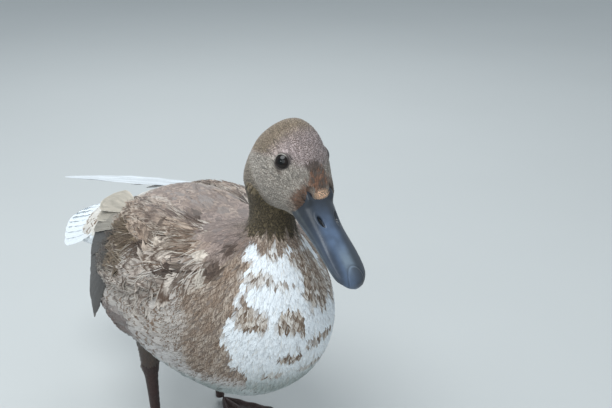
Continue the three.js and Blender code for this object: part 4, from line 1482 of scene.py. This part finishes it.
class DuckBodyCoat(bpy.types.Operator):
    """Contour feathers of breast, belly, flanks, back, rump and thighs."""
    bl_idname = "duck.body_coat"
    bl_label = "Body feathers"

    def execute(self, context):
        sizes = context.scene.duck_sizes
        soft = feather_material("Soft breast feather")
        contour = feather_material("Contour feather")
        rng = np.random.default_rng(13)
        for side, word in SIDES:
            keep = lambda p, t, a: ~winged(p, t, a) & (p[..., 1] < -64) & (p[..., 0] * side > 0)
            roots = Roots(rng, body_at, (5.5, NECK_ROW + 0.2), (0, TAU), sizes.bib_pitch / MM, keep, 3)
            scale = roots.even(0.8, 1.2)
            look = dict(length=10.5 * scale, width=4.4 * scale, swing=roots.normal(9))
            roots.dress(f"breast_{word}_feathers", soft, look, grid=(5, 4), taper=0.4)

        keep = lambda p, t, a: ~winged(p, t, a) & (p[..., 1] >= -68) & (np.sin(a) < 0.5) & (np.sin(a) > -0.86)
        roots = Roots(rng, body_at, (0.6, 7.0), FROM_BELOW, sizes.flank_pitch / MM, keep, 4)
        scale, luck = roots.even(0.8, 1.2), roots.even(0, 1)
        _, y, z = roots.points.T
        loose = smooth((y + 18) / 20) * fall(y, 78, 20) * fall(z, 146, 12) * rise(z, 92, 10)
        look = dict(length=18 * scale * (1 + 0.3 * loose), width=9.5 * scale, swing=4 + roots.normal(9),
                    high=0.3 + 0.6 * luck + 4.5 * loose, cup=0.9, curl=0.3 * luck, roll=roots.about(0.4),
                    bend=roots.about(1.4))
        roots.dress("flank_feathers", contour, look, grid=(6, 7))

        keep = lambda p, t, a: (p[..., 1] >= -68) & (np.sin(a) <= -0.82)
        roots = Roots(rng, body_at, (0.6, 7.0), FROM_BELOW, sizes.belly_pitch / MM, keep, 5)
        roots.dress("belly_feathers", soft, dict(length=12.0, width=6.2, swing=roots.normal(8)))

        keep = lambda p, t, a: ~winged(p, t, a) & (np.sin(a) > 0.3) & (p[..., 1] > -102) & (p[..., 1] < 112)
        roots = Roots(rng, body_at, (0.5, 8.4), (0, np.pi), sizes.back_pitch / MM, keep, 6)
        scale, luck = roots.even(0.8, 1.2), roots.even(0, 1)
        look = dict(length=17 * scale, width=9.5 * scale, swing=roots.normal(9), high=0.4 + 0.5 * luck,
                    cup=0.9, roll=roots.about(0.4), bend=roots.about(1.2))
        roots.dress("back_feathers", contour, look, grid=(6, 7))

        c = tones()
        for side, word in SIDES:
            at = lambda t, a, lift=0.0: limb_at(HIP, HOCK, side, t, a, lift)
            roots = Roots(rng, at, (0.05, 0.8), (0, TAU), sizes.belly_pitch / MM * 0.7, None, 7)
            luck = roots.even(0, 1)
            # grey-white thighs, darkened with umber low down as painted shade under the body
            low = fall(roots.points[:, 2], 106, 20)
            ground = mixed(mixed(c.belly, c.mauve, 0.35 + 0.3 * luck), c.umber, 0.85 * low)
            look = dict(length=8.5, width=3.4, swing=roots.normal(8), low=-2.0, high=0.3 + 0.4 * luck)
            roots.dress(f"thigh_{word}_feathers", soft, look, grid=(5, 4), taper=0.35,
                        marked=(ground, mixed(c.brown, ground, 0.3), figured(0.85, 0.08 * luck, 0.3)))
        return {"FINISHED"}


class DuckWingCoat(bpy.types.Operator):
    """Loose, curled shoulder feathers and coverts over the folded wings."""
    bl_idname = "duck.wing_coat"
    bl_label = "Wing coverts"

    def execute(self, context):
        pitch = context.scene.duck_sizes.wing_pitch / MM
        material = feather_material("Shoulder feather")
        c = tones()
        spans = (WING["from"] - 0.1, WING["to"] + 0.75)
        reach = np.radians(74)
        keep = lambda p, t, a: winged(p, np.maximum(t, WING["from"] + 0.01), a)
        for side, word in SIDES:
            turns = (-0.02, reach) if side > 0 else (np.pi - reach, np.pi + 0.02)
            roots = Roots(np.random.default_rng(31 + side), body_at, spans, turns, pitch, keep, 8)
            luck, other = roots.even(0, 1), roots.even(0, 1)
            lie = lie_of(roots.points)
            whorled = smooth((np.abs(lie - LIE) - 8) / 30)
            scale = roots.even(0.75, 1.3)
            length, swing = 27 * scale, lie + roots.normal(10)
            points = roots.shown(length, swing)
            hollow = hollow_share(points)
            own, own_mark, _ = trunk_markings(points, luck)
            broad = lumps(points, 14, 8)
            own = np.minimum(own, mixed(own, c.brown, 0.4))
            body = mixed(own_mark, c.umber, 0.3 + 0.5 * luck)
            body = mixed(own, body, 0.25 + 0.75 * rise(luck + broad, 0.7, 0.4))
            bright = rise(own.mean(-1), 0.08, 0.08)
            fringe = mixed(own * 1.1, c.cream, 0.3 * bright * rise(other, 0.4, 0.4))
            # in the hollows the feathers go umber: dark down and painted shade
            body, fringe = (mixed(k, c.umber, 0.85 * hollow) for k in (body, fringe))
            look = dict(length=length, width=9.5 * scale, swing=swing, low=-2.2,
                        high=0.5 + 0.9 * luck + 0.5 * whorled - 1.8 * hollow, curl=roots.even(-0.3, 0.8),
                        cup=1.6, fray=0.1, thick=0.3, roll=roots.about(0.4),
                        bend=5.0 * whorled + roots.about(2.5))
            figure = figured(0.76 + 0.08 * luck, 0.12 + 0.08 * other, 0.75 - 0.6 * hollow)
            roots.dress(f"shoulder_{word}_feathers", material, look, (7, 7), 0.4,
                        (fringe, body, figure))
        return {"FINISHED"}


class DuckWisps(bpy.types.Operator):
    """Single loose barbs, hair-thin, that blur the feathers' edges on wings, flanks and breast."""
    bl_idname = "duck.wisps"
    bl_label = "Loose barbs"

    def execute(self, context):
        c = tones()
        pitch = context.scene.duck_sizes.wisp_pitch / MM
        material = feather_material("Loose barb")

        def on_side(p, t, a):
            trunk = (p[..., 1] > -104) & (p[..., 1] < 95)
            return ~winged(p, t, a) & trunk & (np.sin(a) > -0.9) & (np.sin(a) < 0.5)

        # each zone: where it lies, length, height at the tip, how sparse, width
        zones = {
            "wing": (winged, 16.0, 1.5, 0.88, 0.7),
            "side": (on_side, 9.0, 0.7, 1.7, 0.5),
            "front": (lambda p, t, a: ~winged(p, t, a) & (p[..., 1] < -60), 7.0, 0.35, 1.2, 0.6),
        }
        for number, (zone, (keep, length, high, sparse, width)) in enumerate(zones.items()):
            roots = Roots(np.random.default_rng(61 + number), body_at, (1.0, NECK_ROW + 0.5), FROM_BELOW,
                          pitch * sparse, keep, 20 + number)
            luck, pale = roots.even(0, 1), roots.even(0, 1)
            length = length * roots.even(0.6, 1.3)
            swing = lie_of(roots.points) + roots.normal(12)
            points = roots.shown(length, swing, 0.8)
            ground, mark, figure = trunk_markings(points, luck)
            hollow = hollow_share(points)
            if zone == "wing":
                dark = np.minimum(ground, mixed(c.brown, c.umber, luck))
                ground = mixed(ground, dark, 0.8 * rise(lumps(points, 8, 12), 0.38, 0.22))
                bright = rise(ground.mean(-1), 0.08, 0.08)
                ground = mixed(ground, c.cream, 0.5 * (pale < 0.3) * (1 - hollow) * bright)
            ground = mixed(ground, mark, 0.8 * (pale > 0.6) * smooth(figure[:, 1] / 0.04))
            look = dict(length=length, width=width, swing=swing, low=-0.8 - 1.2 * hollow,
                        high=high * (0.5 + 0.7 * luck) - 1.5 * hollow, curl=roots.even(-0.2, 0.5),
                        cup=0.05, fray=0.0, thick=0.25, roll=0.0, bend=roots.about(2.2) * length / 12)
            roots.dress(f"{zone}_wisps", material, look, grid=(5, 3), taper=0.2,
                        marked=(ground, mark, np.zeros_like(figure)))
        return {"FINISHED"}


def between(rows):
    """A list of feathers with a mean one put between each two neighbours."""
    full = []
    for first, second in zip(rows, rows[1:]):
        full += [first, tuple((np.array(a) + np.array(b)) / 2 for a, b in zip(first, second))]
    return full + [rows[-1]]


class DuckFlight(bpy.types.Operator):
    """Flight feathers of both folded wings: on the right cream tertials over dark quills, on the left pale
    quills, of which the first ones reach far past the back."""
    bl_idname = "duck.flight"
    bl_label = "Flight feathers"

    def execute(self, context):
        c = tones()
        material = feather_material("Flight feather")
        rng = np.random.default_rng(41)
        shift = np.array([0, STAND_Y, 0])
        white = c.white * 0.72
        for word, rows in (("right", RIGHT_FLIGHT), ("left", LEFT_FLIGHT)):
            parts = []
            rows = between(rows)
            for index, (root, tip, face, width, arch) in enumerate(rows):
                share = index / (len(rows) - 1)
                root, tip = np.array(root), np.array(tip)
                if word == "right":
                    dark = rise(share, 0.14, 0.14)
                    ground = mixed(mixed(c.cream, c.nape, 0.3), c.slate * 0.5, 0.8 * dark)
                    mark = mixed(mixed(c.nape, c.cream, 0.4), mixed(c.slate, c.umber, 0.3) * 0.55, dark)
                else:
                    tip = root + (tip - root) * (1 - 0.34 * rise(share, 0.12, 0.25))
                    ground = mixed(mixed(c.cream, c.brown, 0.15), white, fall(share, 0.8, 0.3))
                    mark = mixed(mixed(c.brown, c.cream, 0.65), white, fall(share, 0.8, 0.3))
                parts.append(dict(root=root + shift, tip=tip + shift, face=face, width=width, arch=arch,
                                  cup=0.1, ground=ground, mark=mark, figure=[0.45, 0.5, 0.9]))
            made = blades(f"flight_{word}", parts[::-1], rng, fray=0.012, quill=0.5)
            place(made, material, [f"wing_{word}"])
        return {"FINISHED"}


class DuckTail(bpy.types.Operator):
    """The white fan and the spotted coverts over its root."""
    bl_idname = "duck.tail"
    bl_label = "Tail"

    def execute(self, context):
        c = tones()
        rng = np.random.default_rng(51)
        parts = []
        half = (TAIL["blades"] - 1) // 2
        roof = lambda x, y: TAIL["height"] - TAIL["droop"] * (y - TAIL["root"]) - TAIL_ROOF * x**2
        for k in sorted(np.arange(-half, half + 0.1, 0.5), key=lambda k: -abs(k)):
            x, tip = k * TAIL["pitch"], TAIL["tip"] - 2.6 * k**2
            root = [x * 0.6, TAIL["root"] + STAND_Y, roof(x * 0.6, TAIL["root"]) - 5]
            face = np.array([2 * TAIL_ROOF * x, TAIL["droop"], 1.0])
            parts.append(dict(root=root, tip=[x, tip + STAND_Y, roof(x, tip)], face=face, width=TAIL["width"],
                              arch=2.0, cup=0.0, ground=c.white, mark=mixed(c.white, c.cream, 0.2),
                              figure=[0.3, 0.25, 0.5]))
        material = feather_material("Tail feather")
        made = blades("tail_fan", parts, rng, grid=(20, 9), thick=0.5, fray=0.006, quill=0.15, taper=0.8)
        place(made, material, ["tail"])
        roots = Roots(rng, tail_root_at, (0.6, len(TAIL_ROOT) - 1), (0, TAU), 4.0, None, 9)
        luck = roots.even(0, 1)
        above = smooth((np.sin(roots.turn) + 0.1) / 0.4)
        spotted = rise(lumps(roots.points, 8, 6), 0.42, 0.1) * above
        ground = mixed(c.white, mixed(c.cream, c.mauve, 0.3 * luck), 0.8 * above)
        marked = (ground, mixed(c.cream, c.brown, spotted), figured(0.82, 0.12 * spotted, 0.3))
        look = dict(length=14 + 3 * luck, width=8.0, swing=roots.normal(7), low=-2.0, high=0.9, cup=0.4)
        roots.dress("tail_coverts", feather_material("Tail covert"), look, (6, 5),
                    marked=marked)
        return {"FINISHED"}


# ------------------------------------------------------------------ add-on

OPERATORS = (DuckStage, DuckSkin, DuckEyes, DuckBill, DuckLegs, DuckHeadCoat, DuckNeckCoat, DuckBodyCoat,
             DuckWingCoat, DuckWisps, DuckFlight, DuckTail)


class DuckPanel(bpy.types.Panel):
    """Lists the pieces of the duck and the settings that they read."""
    bl_idname = "VIEW3D_PT_duck"
    bl_label = "Standing duck"
    bl_space_type = "VIEW_3D"
    bl_region_type = "UI"
    bl_category = "Duck"

    def draw(self, context):
        for operator in OPERATORS:
            self.layout.operator(operator.bl_idname)
        for group, kind in ((context.scene.duck_sizes, DuckSizes), (context.scene.duck_colours, DuckColours)):
            box = self.layout.box()
            for name in kind.__annotations__:
                box.prop(group, name)


CLASSES = (DuckColours, DuckSizes, *OPERATORS, DuckPanel)


def register():
    for kind in CLASSES:
        bpy.utils.register_class(kind)
    bpy.types.Scene.duck_colours = PointerProperty(type=DuckColours)
    bpy.types.Scene.duck_sizes = PointerProperty(type=DuckSizes)


def unregister():
    del bpy.types.Scene.duck_sizes
    del bpy.types.Scene.duck_colours
    for kind in reversed(CLASSES):
        bpy.utils.unregister_class(kind)


def main():
    """Builds every piece in order."""
    register()
    for operator in OPERATORS:
        group, name = operator.bl_idname.split(".")
        getattr(getattr(bpy.ops, group), name)()


if __name__ == "__main__":
    main()
